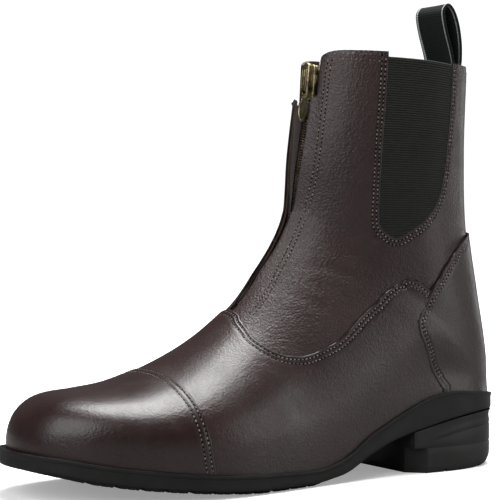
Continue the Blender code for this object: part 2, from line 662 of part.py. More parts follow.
def front_ribbon(name, width_at, outer, inner, first, last, collection, colour=None, sunk=False):
    """Strip along the front line between two offsets from the last; a sunk one follows the zip."""
    rings = []
    for row in stations(first, last):
        half = width_at(row) / 2
        sink = float(zip_sink(row)) if sunk else 0.0
        high, low = (on_last(row, 0.0, offset - sink, lifted=False) for offset in (outer, inner))
        rings.append([(high[0], SIDE_SHIFT - half, high[2]), (high[0], SIDE_SHIFT + half, high[2]),
                      (low[0], SIDE_SHIFT + half, low[2]), (low[0], SIDE_SHIFT - half, low[2])])
    return loft(name, rings, collection, colour)


def notch_floor():
    """Height at which the flaps are cut away for the slider."""
    return SHAFT_HEIGHT - NOTCH_DEPTH


def build_upper():
    """Hollow upper with its gore openings, the zip's slot and the notch for the slider."""
    upper = lasted_sheet("upper", stations(), across_steps(), 0.0, -WALL, PARTS, "leather")
    cut(upper, side_cutter("gore_opening", gore_outline()))
    cut(upper, front_ribbon("zip_slot", slot_width, 0.012, -0.009, ZIP_FOOT_ROW, COLLAR_ROW - 0.5, CUTTERS))
    front = LENGTH * (SECTIONS[-1][2] - 0.5)
    size = (0.030, NOTCH_WIDTH, 2 * NOTCH_DEPTH)
    cut(upper, box_cutter("slider_notch", size, (front - 0.002, SIDE_SHIFT, SHAFT_HEIGHT)))
    cut(upper, below_sole("under_upper", GAP))
    return upper


def build_covers():
    """Toe cap, vamp and counter laid over the upper."""
    sole_side = below_sole("under_covers", 2 * GAP)
    columns = across_steps()
    toe = lasted_sheet("toe_cap", stations(0.0, 6.0), columns, GAP, COVER, PARTS, "leather")
    cut(toe, side_cutter("toe_cap_shape", TOE_CAP_SEAM, BEFORE_TOE_CAP), "INTERSECT")
    cut(toe, sole_side)
    vamp = lasted_sheet("vamp", stations(3.5, 15.0), columns, GAP, LEATHER, PARTS, "leather")
    cut(vamp, side_cutter("vamp_shape", VAMP_SEAM, BELOW_VAMP), "INTERSECT")
    cut(vamp, side_cutter("beside_toe_cap", shifted(TOE_CAP_SEAM, x=GAP), BEFORE_TOE_CAP))
    cut(vamp, side_cutter("beside_counter", shifted(COUNTER_SEAM, x=-GAP), BEHIND_COUNTER))
    cut(vamp, sole_side)
    counter = lasted_sheet("counter", stations(8.0, 17.0), columns, GAP, COVER, PARTS, "leather", front=0.4)
    cut(counter, side_cutter("counter_shape", COUNTER_SEAM, BEHIND_COUNTER), "INTERSECT")
    cut(counter, sole_side)
    return toe, vamp, counter


def build_gores():
    """Elastic gores filling the two side openings."""
    shape = side_cutter("gore_shape", gore_outline(GAP))
    columns = across_steps()
    for name, side in (("gore_lateral", -1), ("gore_medial", 1)):
        half = [c for c in columns if 0.2 < side * c < 0.9]
        gore = lasted_sheet(name, stations(13.0, COLLAR_ROW), half, -GORE_SINK, -ELASTIC, PARTS, "elastic")
        cut(gore, shape, "INTERSECT")


def build_zip():
    """Zip tape inside the front, split above for the slider, and the closed teeth in the slot."""
    offset = -(WALL + 1.6 * GAP)
    rows, columns = stations(ZIP_FOOT_ROW - 0.3, COLLAR_ROW), across_steps(0.1)
    tape = lasted_sheet("zip_tape", rows, columns, offset, -TAPE, PARTS, "elastic", lifted=False, sunk=True)
    reach = Vector((0.03, SLIDER_CORE / 2 + GAP, 2 * SLIDER_HEIGHT))
    split = block("tape_split", (-reach.x, -reach.y, -GAP), reach, CUTTERS)
    seated_at_slider(split)
    cut(tape, split)
    low = offset + GAP
    last = slider_row() - 0.06
    front_ribbon("zip_teeth", lambda row: TEETH_WIDTH, low + TEETH, low, ZIP_FOOT_ROW + 0.15, last,
                 PARTS, "brass", sunk=True)


def slider_row():
    """Section row level with the floor of the notch."""
    rows = np.linspace(15.0, COLLAR_ROW, 301)
    return float(np.interp(notch_floor(), last_point(rows, 0.0)[:, 2], rows))


def slider_matrix():
    """Frame of the slider: its lower end on the front line, leaning with it, +X into the boot."""
    low = last_point(slider_row(), 0.0)
    high = last_point(COLLAR_ROW, 0.0)
    lean = math.atan2(high[0] - low[0], high[2] - low[2])
    return Matrix.Translation(Vector(low) + Vector((0, 0, GAP))) @ Matrix.Rotation(lean, 4, "Y")


def seated_at_slider(made, offset=(0.0, 0.0, 0.0)):
    """Puts an object in the slider's frame."""
    made.matrix_world = slider_matrix() @ Matrix.Translation(offset)


def cylinder(name, radius, width, collection, segments=20):
    """Round bar along Y about its own origin."""
    bm = bmesh.new()
    bmesh.ops.create_cone(bm, cap_ends=True, segments=segments, radius1=radius, radius2=radius, depth=width)
    bmesh.ops.rotate(bm, verts=bm.verts, matrix=Matrix.Rotation(math.pi / 2, 3, "X"))
    return add_object(name, mesh_from(name, bm), collection)


def build_slider():
    """Slider of two plates on a core, with its domed bail and the pin in the bail's mouth."""
    tape_face = WALL + 1.6 * GAP + ZIP_SINK
    front = tape_face - GAP - SLIDER_PLATE
    half = SLIDER_WIDTH / 2
    top = SLIDER_HEIGHT
    slider = block("zip_slider", (front, -half, 0), (front + SLIDER_PLATE, half, top), PARTS, "brass")
    plates = slider.modifiers.new("plate_edges", "BEVEL")
    plates.width, plates.segments = 0.0004, 1
    back = front + SLIDER_PLATE + SLIDER_THROAT
    core = block("slider_core", (front + SLIDER_PLATE / 2, -SLIDER_CORE / 2, 0.0006),
                 (back + SLIDER_PLATE / 2, SLIDER_CORE / 2, top - 0.0006), CUTTERS)
    rear = block("slider_back", (back, -half, 0.0004), (back + SLIDER_PLATE, half, top - 0.0004), CUTTERS)
    bail = block("slider_bail", (front - BAIL_RISE, -BAIL_WIDTH / 2, 0.0008),
                 (front + SLIDER_PLATE / 2, BAIL_WIDTH / 2, BAIL_HEIGHT), CUTTERS)
    dome = bail.modifiers.new("dome", "BEVEL")
    dome.width, dome.segments = BAIL_ROUND, 3
    eye = PIN / 2 + PIN_CLEARANCE + EYE_WALL
    axis = Vector((front - BAIL_RISE / 2, 0, PIN_HEIGHT))
    mouth = block("bail_mouth", (front - 2 * BAIL_RISE, -EYE_WIDTH / 2 - GAP, -0.01),
                  (axis.x + eye + PIN_CLEARANCE, EYE_WIDTH / 2 + GAP, axis.z + eye + PIN_CLEARANCE),
                  CUTTERS)
    pin = cylinder("slider_pin", PIN / 2, EYE_WIDTH + 0.0016, CUTTERS)
    for made in (slider, core, rear, bail, mouth):
        seated_at_slider(made)
    seated_at_slider(pin, axis)
    for made in (core, rear, bail):
        cut(slider, made, "UNION")
    cut(slider, mouth)
    cut(slider, pin, "UNION")
    return axis


def build_pull(axis):
    """Pull tab with its eye round the slider's pin; its origin lies on the pin's axis."""
    eye = PIN / 2 + PIN_CLEARANCE + EYE_WALL
    curve = [(share * TAB_WIDTH / 2, -drop * TAB_LENGTH) for share, drop in TAB_OUTLINE]
    curve = [(min(y, EYE_WIDTH / 2), z) if z > -eye - GAP else (y, z) for y, z in curve]
    outline = curve + [(-y, z) for y, z in reversed(curve[:-1])]
    bm = bmesh.new()
    face = bm.faces.new([bm.verts.new((-TAB / 2, y, z)) for y, z in outline])
    grown = bmesh.ops.extrude_face_region(bm, geom=[face])["geom"]
    moved = [g for g in grown if isinstance(g, bmesh.types.BMVert)]
    bmesh.ops.translate(bm, verts=moved, vec=(TAB, 0, 0))
    tab = add_object("zip_pull", mesh_from("zip_pull", bm), PARTS, "brass")
    ring = cylinder("pull_eye", eye, EYE_WIDTH, CUTTERS, 24)
    bore = cylinder("pull_bore", PIN / 2 + PIN_CLEARANCE, 2 * EYE_WIDTH, CUTTERS, 24)
    for made in (tab, ring, bore):
        seated_at_slider(made, axis)
    cut(tab, ring, "UNION")
    cut(tab, bore)
    return tab


def build_loop():
    """Pull loop of folded webbing, its feet inside the back of the collar."""
    path = named(spline(LOOP_PATH, np.linspace(0, len(LOOP_PATH) - 1, 27)), LOOP_COLUMNS)
    collar_back = SHAFT_HEIGHT - COLLAR_DROP
    turns = np.array([column for column in across_steps() if column > 0.6])
    inside = -(WALL + 2 * GAP + LOOP_TAPE / 2)
    high, low = (on_last(row, turns, inside) for row in (COLLAR_ROW, COLLAR_ROW - 0.5))
    half = LOOP_WIDTH / 2
    between = [y for y in high[:, 1] - SIDE_SHIFT if 0.001 < y < half - 0.001]
    places = sorted([-half, half, 0.0, *between, *(-y for y in between)])
    bm = bmesh.new()
    bmesh.ops.create_grid(bm, x_segments=len(path["up"]) - 1, y_segments=len(places) - 1, size=1)
    for vertex in bm.verts:
        k = round((vertex.co.x + 1) / 2 * (len(path["up"]) - 1))
        y = places[round((vertex.co.y + 1) / 2 * (len(places) - 1))]
        up = path["up"][k]
        z = up * (LOOP_HEIGHT if up > 0 else LOOP_FOOT / -LOOP_PATH[0][1])
        near, far = (float(np.interp(abs(y), w[::-1, 1] - SIDE_SHIFT, w[::-1, 0])) for w in (high, low))
        middle = float(high[-1, 0])
        fall = (high[-1, 2] - low[-1, 2])
        wall = near + (far - near) * max(-z, 0) / fall
        x = middle + (wall - middle) * path["curve"][k] - path["forward"][k] * LOOP_DEPTH
        vertex.co = (x, SIDE_SHIFT + y, collar_back + z)
    mesh = bpy.data.meshes.new("pull_loop")
    bm.to_mesh(mesh)
    bm.free()
    loop = add_object("pull_loop", mesh, PARTS, "webbing")
    wall = loop.modifiers.new("wall", "SOLIDIFY")
    wall.thickness = LOOP_TAPE
    wall.offset = 0
    return loop


for old in list(bpy.data.objects):
    bpy.data.objects.remove(old, do_unlink=True)
PARTS = bpy.data.collections.new("paddock_boot")
CUTTERS = bpy.data.collections.new("paddock_boot_cutters")
bpy.context.scene.collection.children.link(PARTS)
bpy.context.scene.collection.children.link(CUTTERS)

build_outsole()
build_heel()
build_insole()
build_upper()
build_covers()
build_gores()
build_zip()
build_pull(build_slider())
build_loop()
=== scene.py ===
"""Looks of the paddock boot: leather panels laid on the last, stitching, elastic, zip, sole."""
import math

import bpy
import numpy as np
from mathutils import Matrix, Vector


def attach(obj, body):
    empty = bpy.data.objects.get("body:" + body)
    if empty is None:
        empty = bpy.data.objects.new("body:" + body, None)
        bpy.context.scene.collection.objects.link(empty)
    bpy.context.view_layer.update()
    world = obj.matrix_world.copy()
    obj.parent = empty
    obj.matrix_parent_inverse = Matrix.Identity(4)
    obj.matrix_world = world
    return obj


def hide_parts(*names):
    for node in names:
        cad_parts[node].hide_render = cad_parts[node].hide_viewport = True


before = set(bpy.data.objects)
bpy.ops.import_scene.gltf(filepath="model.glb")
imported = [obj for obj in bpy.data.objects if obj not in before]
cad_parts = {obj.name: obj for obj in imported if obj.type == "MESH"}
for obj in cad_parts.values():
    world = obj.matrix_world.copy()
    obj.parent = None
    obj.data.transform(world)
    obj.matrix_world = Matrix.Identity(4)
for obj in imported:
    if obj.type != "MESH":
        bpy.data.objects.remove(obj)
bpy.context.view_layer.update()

# Sizes shared with the construction, in metres
LENGTH = 0.3005
BALL_WIDTH = 0.1115
SHAFT_HEIGHT = 0.231
HEEL_HEIGHT = 0.0305
HEEL_LENGTH = 0.0735
TOE_SPRING = 0.015
SOLE_EDGE = 0.0083
TREAD = 0.0017
WALL = 0.0022
GAP = 0.0003
WELT_EDGE = 0.0035
TOE_SETBACK = 0.0062
HEEL_SETBACK = 0.0041
WELT_LIP = 0.0018
TREAD_INSET = 0.0045
TREAD_GROOVE = 0.0011
TREAD_PITCH = 0.0125
HEEL_INSET = 0.0012
HEEL_CORNER = 0.0100
HEEL_CORNER_HEIGHT = 0.0140
HEEL_SLOT = 0.0018
HEEL_SLOT_DEPTH = 0.0016
HEEL_ROUND = 0.0065
HEEL_BAND = 0.0052
INSOLE = 0.0030
FLAP_RISE = 0.0035
FLAP_REACH = 0.0130
COLLAR_DROP = 0.0035
SEAT_TRIM = 0.0012
ZIP_SLOT = 0.0052
ZIP_SLOT_TOP = 0.0132
NOTCH_DEPTH = 0.0245
NOTCH_WIDTH = 0.0235
LOOP_WIDTH = 0.0265
LOOP_HEIGHT = 0.0368
LOOP_TAPE = 0.0016
LOOP_FOOT = 0.0130
LOOP_DEPTH = 0.0142
ZIP_SINK = 0.0028

# Sizes of what only the scene holds
WELD_REACH = 0.00002
NOTCH_MEDIAL = 0.0270
CORNER_REACH = 0.012
TOE_CAP_ROWS = (0.0017, 0.0049)
VAMP_ROWS = (0.0019, 0.0042)
COUNTER_ROWS = (0.0026, 0.0044)
GORE_ROWS = (0.0016, 0.0038)
SEAM_GROOVE = 0.00030
GROOVE_WIDTH = 0.00075
STITCH_PITCH = 0.0023
STITCH_STEP = 0.0004
THREAD_HEIGHT = {"toe_cap": 0.0019, "vamp": 0.0011, "counter": 0.0016, "quarter": -0.0001, "facing": 0.00008}
STITCH_SIZE = (0.00066, 0.00031, 0.00026)
# Flat dots of painted shade in the stitch holes
PINHOLE_SHADE_SIZE = (0.00060, 0.00044, 0.00012)
STRIP_HALF = 0.0100
STRIP_ROLL = 0.0011
RIB_PITCH = 0.00128
RIB_DEPTH = 0.00036
TAPE_WALL = 0.0007
TAPE_REACH = 0.0100
TAPE_PART = 0.0058
TEETH_PITCH = 0.00074
TEETH_SHIFT = 0.0008
TAB_THICKNESS = 0.0012
TAB_HALF_WIDTH = 0.0047
TAB_LENGTH = 0.0146
EDGE_STEPS = (0.0, 0.00025, 0.0006, 0.0010, 0.0014, 0.0018, 0.0022, 0.0027, 0.0033, 0.0038, 0.0043, 0.0049,
              0.0056)

# Outline of the sole: share of LENGTH from the toe, then half-widths as shares of BALL_WIDTH
PLAN_COLUMNS = ("along", "lateral", "medial")
PLAN = [
    (0.000, 0.000, 0.000),
    (0.016, 0.185, 0.195),
    (0.060, 0.330, 0.335),
    (0.130, 0.430, 0.420),
    (0.220, 0.495, 0.465),
    (0.320, 0.520, 0.455),
    (0.430, 0.480, 0.390),
    (0.550, 0.410, 0.305),
    (0.670, 0.355, 0.290),
    (0.780, 0.330, 0.315),
    (0.870, 0.320, 0.320),
    (0.945, 0.260, 0.262),
    (0.985, 0.150, 0.152),
    (1.000, 0.000, 0.000),
]

# Side view of the sole, as in the construction
SOLE_COLUMNS = ("along", "lift", "spring", "edge", "tread")
SOLE = [
    (0.00, 0.00, 1.000, 0.93, 0.0),
    (0.05, 0.00, 0.855, 1.00, 0.7),
    (0.10, 0.00, 0.650, 1.03, 1.0),
    (0.15, 0.00, 0.490, 1.03, 1.0),
    (0.20, 0.00, 0.360, 1.03, 1.0),
    (0.26, 0.00, 0.230, 1.00, 1.0),
    (0.33, 0.00, 0.100, 1.00, 1.0),
    (0.40, 0.00, 0.000, 1.02, 1.0),
    (0.46, 0.00, 0.000, 0.95, 1.0),
    (0.52, 0.00, 0.000, 0.88, 1.0),
    (0.56, 0.05, 0.000, 0.92, 0.0),
    (0.60, 0.14, 0.000, 1.12, 0.0),
    (0.65, 0.39, 0.000, 1.32, 0.0),
    (0.70, 0.60, 0.000, 1.43, 0.0),
    (0.75, 0.74, 0.000, 1.75, 0.0),
    (0.80, 0.85, 0.000, 2.00, 0.0),
    (0.85, 0.96, 0.000, 1.87, 0.0),
    (0.90, 1.03, 0.000, 1.50, 0.0),
    (0.95, 1.06, 0.000, 1.22, 0.0),
    (1.00, 1.03, 0.000, 1.05, 0.0),
]

# Sections of the last, from upright at the toe round the heel to level at the collar
SECTION_COLUMNS = ("foot", "back", "top", "height", "lateral", "medial", "widest", "full", "bow")
SECTIONS = [
    (0.000, 0.00, 0.070, 0.211, 0.000, 0.000, 0.30, 2.8, 0.19),
    (0.016, 0.00, 0.078, 0.213, 0.175, 0.180, 0.30, 2.8, 0.15),
    (0.060, 0.00, 0.105, 0.218, 0.303, 0.310, 0.30, 2.8, 0.08),
    (0.130, 0.00, 0.150, 0.223, 0.398, 0.388, 0.30, 2.6, 0.02),
    (0.220, 0.00, 0.216, 0.237, 0.463, 0.430, 0.28, 2.4, 0.00),
    (0.320, 0.00, 0.293, 0.275, 0.488, 0.428, 0.28, 2.2, 0.00),
    (0.430, 0.00, 0.370, 0.331, 0.455, 0.375, 0.27, 2.1, 0.00),
    (0.550, 0.00, 0.436, 0.401, 0.403, 0.326, 0.28, 2.0, 0.00),
    (0.670, 0.00, 0.487, 0.466, 0.368, 0.315, 0.30, 2.0, 0.00),
    (0.780, 0.00, 0.518, 0.517, 0.345, 0.315, 0.34, 2.0, 0.00),
    (0.870, 0.00, 0.537, 0.555, 0.335, 0.320, 0.38, 2.0, 0.00),
    (0.945, 0.00, 0.551, 0.590, 0.330, 0.320, 0.42, 2.0, 0.00),
    (0.990, 0.00, 0.558, 0.616, 0.325, 0.318, 0.45, 2.0, 0.00),
    (1.000, 0.00, 0.562, 0.637, 0.320, 0.316, 0.47, 2.0, 0.00),
    (0.992, 0.13, 0.565, 0.686, 0.322, 0.318, 0.48, 2.0, 0.00),
    (0.971, 0.30, 0.568, 0.749, 0.328, 0.322, 0.49, 2.0, 0.00),
    (0.950, 0.50, 0.575, 0.824, 0.335, 0.330, 0.50, 2.0, 0.00),
    (0.946, 0.74, 0.584, 0.908, 0.345, 0.340, 0.50, 2.0, 0.00),
    (0.952, 1.00, 0.591, 1.000, 0.350, 0.350, 0.50, 2.0, 0.00),
]
HEEL_ROW = 13
ROW_REACH = 0.2
STRAIGHT_HEEL = (8.0, 11.0)
COLLAR_ROW = 18
ZIP_FOOT_ROW = 7.0
FLAP_FADE = (6.9, 8.3)
FLAP_END = (17.0, 17.5)
SLOT_FLARE = (13.5, 16.8)
SINK_ROWS = (13.2, 16.6)
COLLAR_ROLL = 0.0024
COLLAR_CORNER = 0.0050
EASE_REACH = 0.013
EASE_ROUNDS = 30

# Seams on the last: section row, then share round from the front line (0) to the sole (1)
TOE_CAP_ROW = 4.70
VAMP_EDGE = [(6.93, 0.000), (6.90, 0.060), (6.87, 0.110), (6.78, 0.150), (6.72, 0.220), (6.68, 0.270),
             (6.73, 0.320), (6.84, 0.375), (7.03, 0.424), (7.31, 0.466), (7.55, 0.491), (7.85, 0.510),
             (8.26, 0.521), (8.68, 0.514), (9.28, 0.496), (10.15, 0.472), (10.96, 0.446),
             (12.16, 0.433), (13.12, 0.443), (13.46, 0.461), (13.64, 0.495), (13.70, 0.545)]
VAMP_FOOT = [(4.50, share) for share in (0, 0.10, 0.20, 0.35, 0.50, 0.75)]
VAMP_FOOT += [(row, 1) for row in (4.50, 5.20, 5.80, 6.30, 6.70, 7.10, 7.60, 8.10, 8.70, 9.40, 10.0, 10.6,
                                   11.0, 11.3, 11.6, 11.9)]
COUNTER_EDGE = [(9.64, 0.965), (9.70, 0.90), (9.87, 0.803), (10.09, 0.732), (10.30, 0.663),
                (10.50, 0.609), (10.69, 0.581), (11.11, 0.548), (12.03, 0.518), (12.85, 0.512),
                (13.52, 0.526), (14.13, 0.560), (14.76, 0.610), (15.44, 0.700), (15.80, 0.800),
                (15.94, 0.900), (15.98, 1.00)]
COUNTER_FOOT = [(row, 1) for row in (9.62, 9.75, 10.0, 10.2, 10.4, 10.6, 10.8, 11.0, 11.3, 11.6, 11.8, 12.0,
                                     12.2, 12.4, 12.6, 12.8, 13.0)]
GORE_EDGE = [(18.00, 0.370), (17.60, 0.370), (17.20, 0.370), (16.80, 0.370), (16.20, 0.370), (15.60, 0.370),
             (15.00, 0.368), (14.64, 0.366), (14.44, 0.367), (14.33, 0.371), (14.28, 0.378), (14.26, 0.386),
             (14.262, 0.392), (14.266, 0.397), (14.272, 0.402), (14.28, 0.407), (14.295, 0.413),
             (14.33, 0.420), (14.40, 0.430), (14.54, 0.445), (14.78, 0.469), (15.10, 0.504),
             (15.50, 0.550), (15.90, 0.594), (16.30, 0.625), (16.80, 0.646), (17.30, 0.660), (18.00, 0.664)]
QUARTER_EDGE = [(18.00, "notch"), (17.55, "notch"), (17.00, "notch"), (16.88, "slot"), (16.20, "slot"),
                (15.20, "slot"), (13.90, "slot"), (12.40, "slot"), (10.80, "slot"), (9.20, "slot"),
                (7.90, "slot"), (7.00, "slot"), (6.45, 0.03), (6.40, 0.15), (6.35, 0.27), (6.65, 0.42),
                (7.30, 0.54), (8.30, 0.60), (9.60, 0.585), (10.80, 0.56), (12.00, 0.56), (13.20, 0.60),
                (14.20, 0.68), (14.90, 0.80), (15.40, 1.00), (16.20, 1.00), (17.10, 1.00), (18.00, 1.00)]
NOTCH_ROWS = ((16.96, 16.90), (16.90, 16.86))
# Outer flap of the zip: section row, then its edge's distance from the front line
OUTER_FLAP = [(11.0, 0.0026), (12.2, 0.0030), (13.35, 0.0041), (14.25, 0.0057), (15.0, 0.0067),
              (15.5, 0.0071), (16.0, 0.0077), (16.5, 0.0083)]
FACING_LINE = [(17.90, 0.150), (17.38, 0.139), (16.08, 0.138), (14.82, 0.131), (13.0, 0.101), (11.1, 0.096),
               (10.0, 0.103), (8.6, 0.120), (7.85, 0.147), (7.46, 0.159), (7.10, 0.163)]
SIDES = {"lateral": -1, "medial": 1}


def smooth(share):
    """Share from 0 to 1 with soft ends."""
    share = np.clip(share, 0, 1)
    return share ** 2 * (3 - 2 * share)


def spline(rows, at):
    """Smooth curve through the rows of a table, read at row numbers."""
    rows = np.asarray(rows, float)
    at = np.clip(np.asarray(at, float), 0, len(rows) - 1)
    k = np.minimum(np.floor(at).astype(int), len(rows) - 2)
    t = (at - k)[..., None]
    ends = np.vstack([2 * rows[0] - rows[1], rows, 2 * rows[-1] - rows[-2]])
    a, b, c, d = (ends[k + i] for i in range(4))
    return 0.5 * (2 * b + (c - a) * t + (2 * a - 5 * b + 4 * c - d) * t ** 2
                  + (3 * b - a - 3 * c + d) * t ** 3)


def through(table, count):
    """Smooth curve through all the rows of a table, in a number of places."""
    return spline(table, np.linspace(0, len(table) - 1, count))


def named(table, columns):
    """Columns of a table by name."""
    return dict(zip(columns, np.moveaxis(np.asarray(table, float), -1, 0)))


def closed_plan():
    """PLAN with both ends turned back on themselves."""
    rows = np.asarray(PLAN, float)
    first, last = rows[1] * (1, -1, -1), rows[-2] * (1, -1, -1)
    return np.vstack([first, rows, last])


PLAN_CURVE = named(spline(closed_plan(), np.linspace(1, len(PLAN), 600)), PLAN_COLUMNS)
SOLE_CURVE = named(through(SOLE, 400), SOLE_COLUMNS)
SIDE_SHIFT = BALL_WIDTH * (PLAN_CURVE["lateral"].max() - PLAN_CURVE["medial"].max()) / 2


def drawn_share(inset):
    """Share to which a half-width shrinks when its outline is drawn in by a distance."""
    return 1 - inset / (0.45 * BALL_WIDTH)


def edge_width(along, side):
    """Half-width of the sole's outline on one side."""
    width = np.interp(np.asarray(along), PLAN_CURVE["along"], PLAN_CURVE["lateral" if side < 0 else "medial"])
    return np.maximum(width * BALL_WIDTH, 0.0)


def strip_bottom(along):
    """Height of the sole strip's underside."""
    lift = np.interp(along, SOLE_CURVE["along"], SOLE_CURVE["lift"])
    spring = np.interp(along, SOLE_CURVE["along"], SOLE_CURVE["spring"])
    return TREAD + np.maximum(lift, 0) * (HEEL_HEIGHT - TREAD) + np.maximum(spring, 0) * TOE_SPRING


def strip_top(along):
    """Height of the sole strip's upper face."""
    return strip_bottom(along) + SOLE_EDGE * np.interp(along, SOLE_CURVE["along"], SOLE_CURVE["edge"])


def tread_depth(along):
    """Depth of the forefoot tread under the strip."""
    return TREAD * np.clip(np.interp(along, SOLE_CURVE["along"], SOLE_CURVE["tread"]), 0, 1)


def section_rows():
    """SECTIONS with its toe end closed, so that row k reads at k + 1."""
    rows = np.asarray(SECTIONS, float)
    toe = rows[1].copy()
    toe[4:6] = -toe[4:6]
    return np.vstack([toe, rows])


SECTION_ROWS = section_rows()


def foot_along(share):
    """Place of a section's lower end along the sole."""
    return (TOE_SETBACK + share * (LENGTH - TOE_SETBACK - HEEL_SETBACK)) / LENGTH


def last_point(row, across):
    """Point on the last; across runs from -1 at the lateral sole edge to 1 at the medial one."""
    row, across = np.broadcast_arrays(np.asarray(row, float), np.asarray(across, float))
    c = named(spline(SECTION_ROWS, row + 1), SECTION_COLUMNS)
    side = np.where(across < 0, -1.0, 1.0)
    turn = 1 - np.abs(across)
    seat = strip_top(foot_along(c["foot"])) - SEAT_TRIM
    back_top = SHAFT_HEIGHT - COLLAR_DROP
    low_x = foot_along(c["foot"]) * LENGTH
    low_z = seat + np.maximum(c["back"], 0) * (back_top - seat)
    width = np.where(side < 0, c["lateral"], c["medial"]) * BALL_WIDTH

    def welt_width(along):
        return np.where(side < 0, edge_width(along, -1), edge_width(along, 1)) * drawn_share(WELT_EDGE)

    edge = welt_width(c["foot"])
    edge = np.where(row <= HEEL_ROW, np.minimum(edge, width), 0.0)
    upright = np.where(width < 0.0005, 1.0, edge / np.maximum(width, 0.0005))
    rise_low = np.clip(turn / c["widest"], 0, 1)
    rise_high = np.clip((turn - c["widest"]) / (1 - c["widest"]), 0, 1) * math.pi / 2
    round_share = 1 - np.cos(rise_low * math.pi / 2)
    low_share = c["widest"] * (rise_low * upright + round_share * (1 - upright))
    high_share = c["widest"] + (1 - c["widest"]) * np.sin(rise_high) ** (2 / c["full"])
    share = np.where(turn < c["widest"], low_share, high_share)
    run_x, run_z = c["top"] * LENGTH - low_x, c["height"] * SHAFT_HEIGHT - low_z
    below = np.where(row <= HEEL_ROW, c["foot"], 1.0)
    below = below + run_x * low_share / (LENGTH - TOE_SETBACK - HEEL_SETBACK)
    wall = welt_width(below)
    rounded = np.clip(low_share / c["widest"], 0, 1)
    wall = wall + (width * np.sqrt(rounded * (2 - rounded)) - wall) * smooth(rounded)
    low_y = edge + (width - edge) * np.sin(rise_low * math.pi / 2)
    low_y = low_y + (wall - low_y) * smooth((row - STRAIGHT_HEEL[0]) / (STRAIGHT_HEEL[1] - STRAIGHT_HEEL[0]))
    high_y = width * np.clip(np.cos(rise_high), 0, 1) ** (2 / c["full"])
    y = side * np.where(turn < c["widest"], low_y, high_y)
    bow = c["bow"] * 4 * share * (1 - share)
    x = low_x + run_x * share - np.abs(run_z) * bow
    z = low_z + run_z * share + np.where(run_z > 0, run_x, -run_x) * bow
    return np.stack([x - LENGTH / 2, y + SIDE_SHIFT, z], -1)


def flap_height(row, across, point):
    """How far the zip's flaps lift the leather near the front line."""
    near = (1 - np.abs(point[..., 1] - SIDE_SHIFT) / FLAP_REACH) * (np.abs(across) < 0.5)
    start = (row - FLAP_FADE[0]) / (FLAP_FADE[1] - FLAP_FADE[0])
    end = (FLAP_END[1] - row) / (FLAP_END[1] - FLAP_END[0])
    return FLAP_RISE * smooth(near) * smooth(start) * np.clip(end, 0, 1)


def zip_sink(row):
    """How much deeper the zip runs as it nears its slider."""
    return ZIP_SINK * smooth((row - SINK_ROWS[0]) / (SINK_ROWS[1] - SINK_ROWS[0]))


def collar_shape(row, across, point):
    """How far the rolled collar stands up, less its rounded corner beside the slider."""
    start = np.where(across < 0, NOTCH_WIDTH / 2, NOTCH_MEDIAL)
    turn = 1 - np.clip((np.abs(point[..., 1] - SIDE_SHIFT) - start) / CORNER_REACH, 0, 1)
    front = smooth((0.48 - np.abs(across)) / 0.06)
    rise = COLLAR_ROLL - COLLAR_CORNER * (1 - np.sqrt(1 - turn ** 2))
    return rise * front * smooth((row - 17.40) / 0.6)


def neighbours(row, across, row_step, step):
    """Rows before and after a place on the last, and shares to its left and right."""
    return (np.clip(row - row_step, 0, COLLAR_ROW), np.clip(row + row_step, 0, COLLAR_ROW),
            np.clip(across - step, -1, 1), np.clip(across + step, -1, 1))


def last_normal(row, across):
    """Outward direction of the last's surface."""
    step = 0.004
    low, high, left, right = neighbours(row, across, ROW_REACH, step)
    along = last_point(high, across) - last_point(low, across)
    round_it = last_point(row, right) - last_point(row, left)
    normal = np.cross(along, round_it)
    inner, outer = (np.clip(k - np.abs(across), -1, 0) for k in (step, -step))
    rim = last_point(row, inner) - last_point(row, outer)
    toe_line = np.stack([-rim[..., 2], 0 * rim[..., 1], rim[..., 0]], -1)
    normal = np.where((row < step)[..., None], toe_line, normal)
    back_seam = (row >= HEEL_ROW) & (np.abs(across) > 1 - step)
    normal[..., 1] = np.where(back_seam, 0.0, normal[..., 1])
    return normal / np.linalg.norm(normal, axis=-1, keepdims=True)


def on_last(row, across, offset=0.0, lifted=True):
    """Point at a distance outside the last, lifted where the zip's flaps are."""
    row, across = np.broadcast_arrays(np.asarray(row, float), np.asarray(across, float))
    point = last_point(row, across)
    lift = flap_height(row, across, point) if lifted else 0.0 * row
    laid = point + last_normal(row, across) * (offset + lift)[..., None]
    laid[..., 2] += collar_shape(row, across, point) if lifted else 0.0
    return laid


def flap_edge(row, side):
    """Distance of a zip flap's edge from the front line; the flaps spread below the slider."""
    if side < 0:
        return float(np.interp(row, *zip(*OUTER_FLAP)))
    flare = np.clip((row - SLOT_FLARE[0]) / (SLOT_FLARE[1] - SLOT_FLARE[0]), 0, 1)
    return (ZIP_SLOT + (ZIP_SLOT_TOP - ZIP_SLOT) * flare) / 2


def across_at(row, distance):
    """Share round at which the last is a distance to the side of its front line."""
    shares = np.linspace(0, 0.5, 201)
    sides = SIDE_SHIFT - last_point(row, -shares)[:, 1]
    return float(np.interp(distance, sides, shares))


def fresh(piece):
    """Selects one piece alone."""
    bpy.ops.object.select_all(action="DESELECT")
    piece.select_set(True)
    bpy.context.view_layer.objects.active = piece


def apply_modifiers(piece):
    """Applies all of a piece's modifiers in order."""
    fresh(piece)
    for modifier in list(piece.modifiers):
        bpy.ops.object.modifier_apply(modifier=modifier.name)


def edit(piece, action="SELECT"):
    """Opens a piece's mesh with all or none of it selected."""
    fresh(piece)
    bpy.ops.object.mode_set(mode="EDIT")
    bpy.ops.mesh.select_all(action=action)


def leave_outwards():
    """Turns the open mesh's faces outwards and leaves it."""
    bpy.ops.mesh.select_all(action="SELECT")
    bpy.ops.mesh.normals_make_consistent(inside=False)
    bpy.ops.object.mode_set(mode="OBJECT")


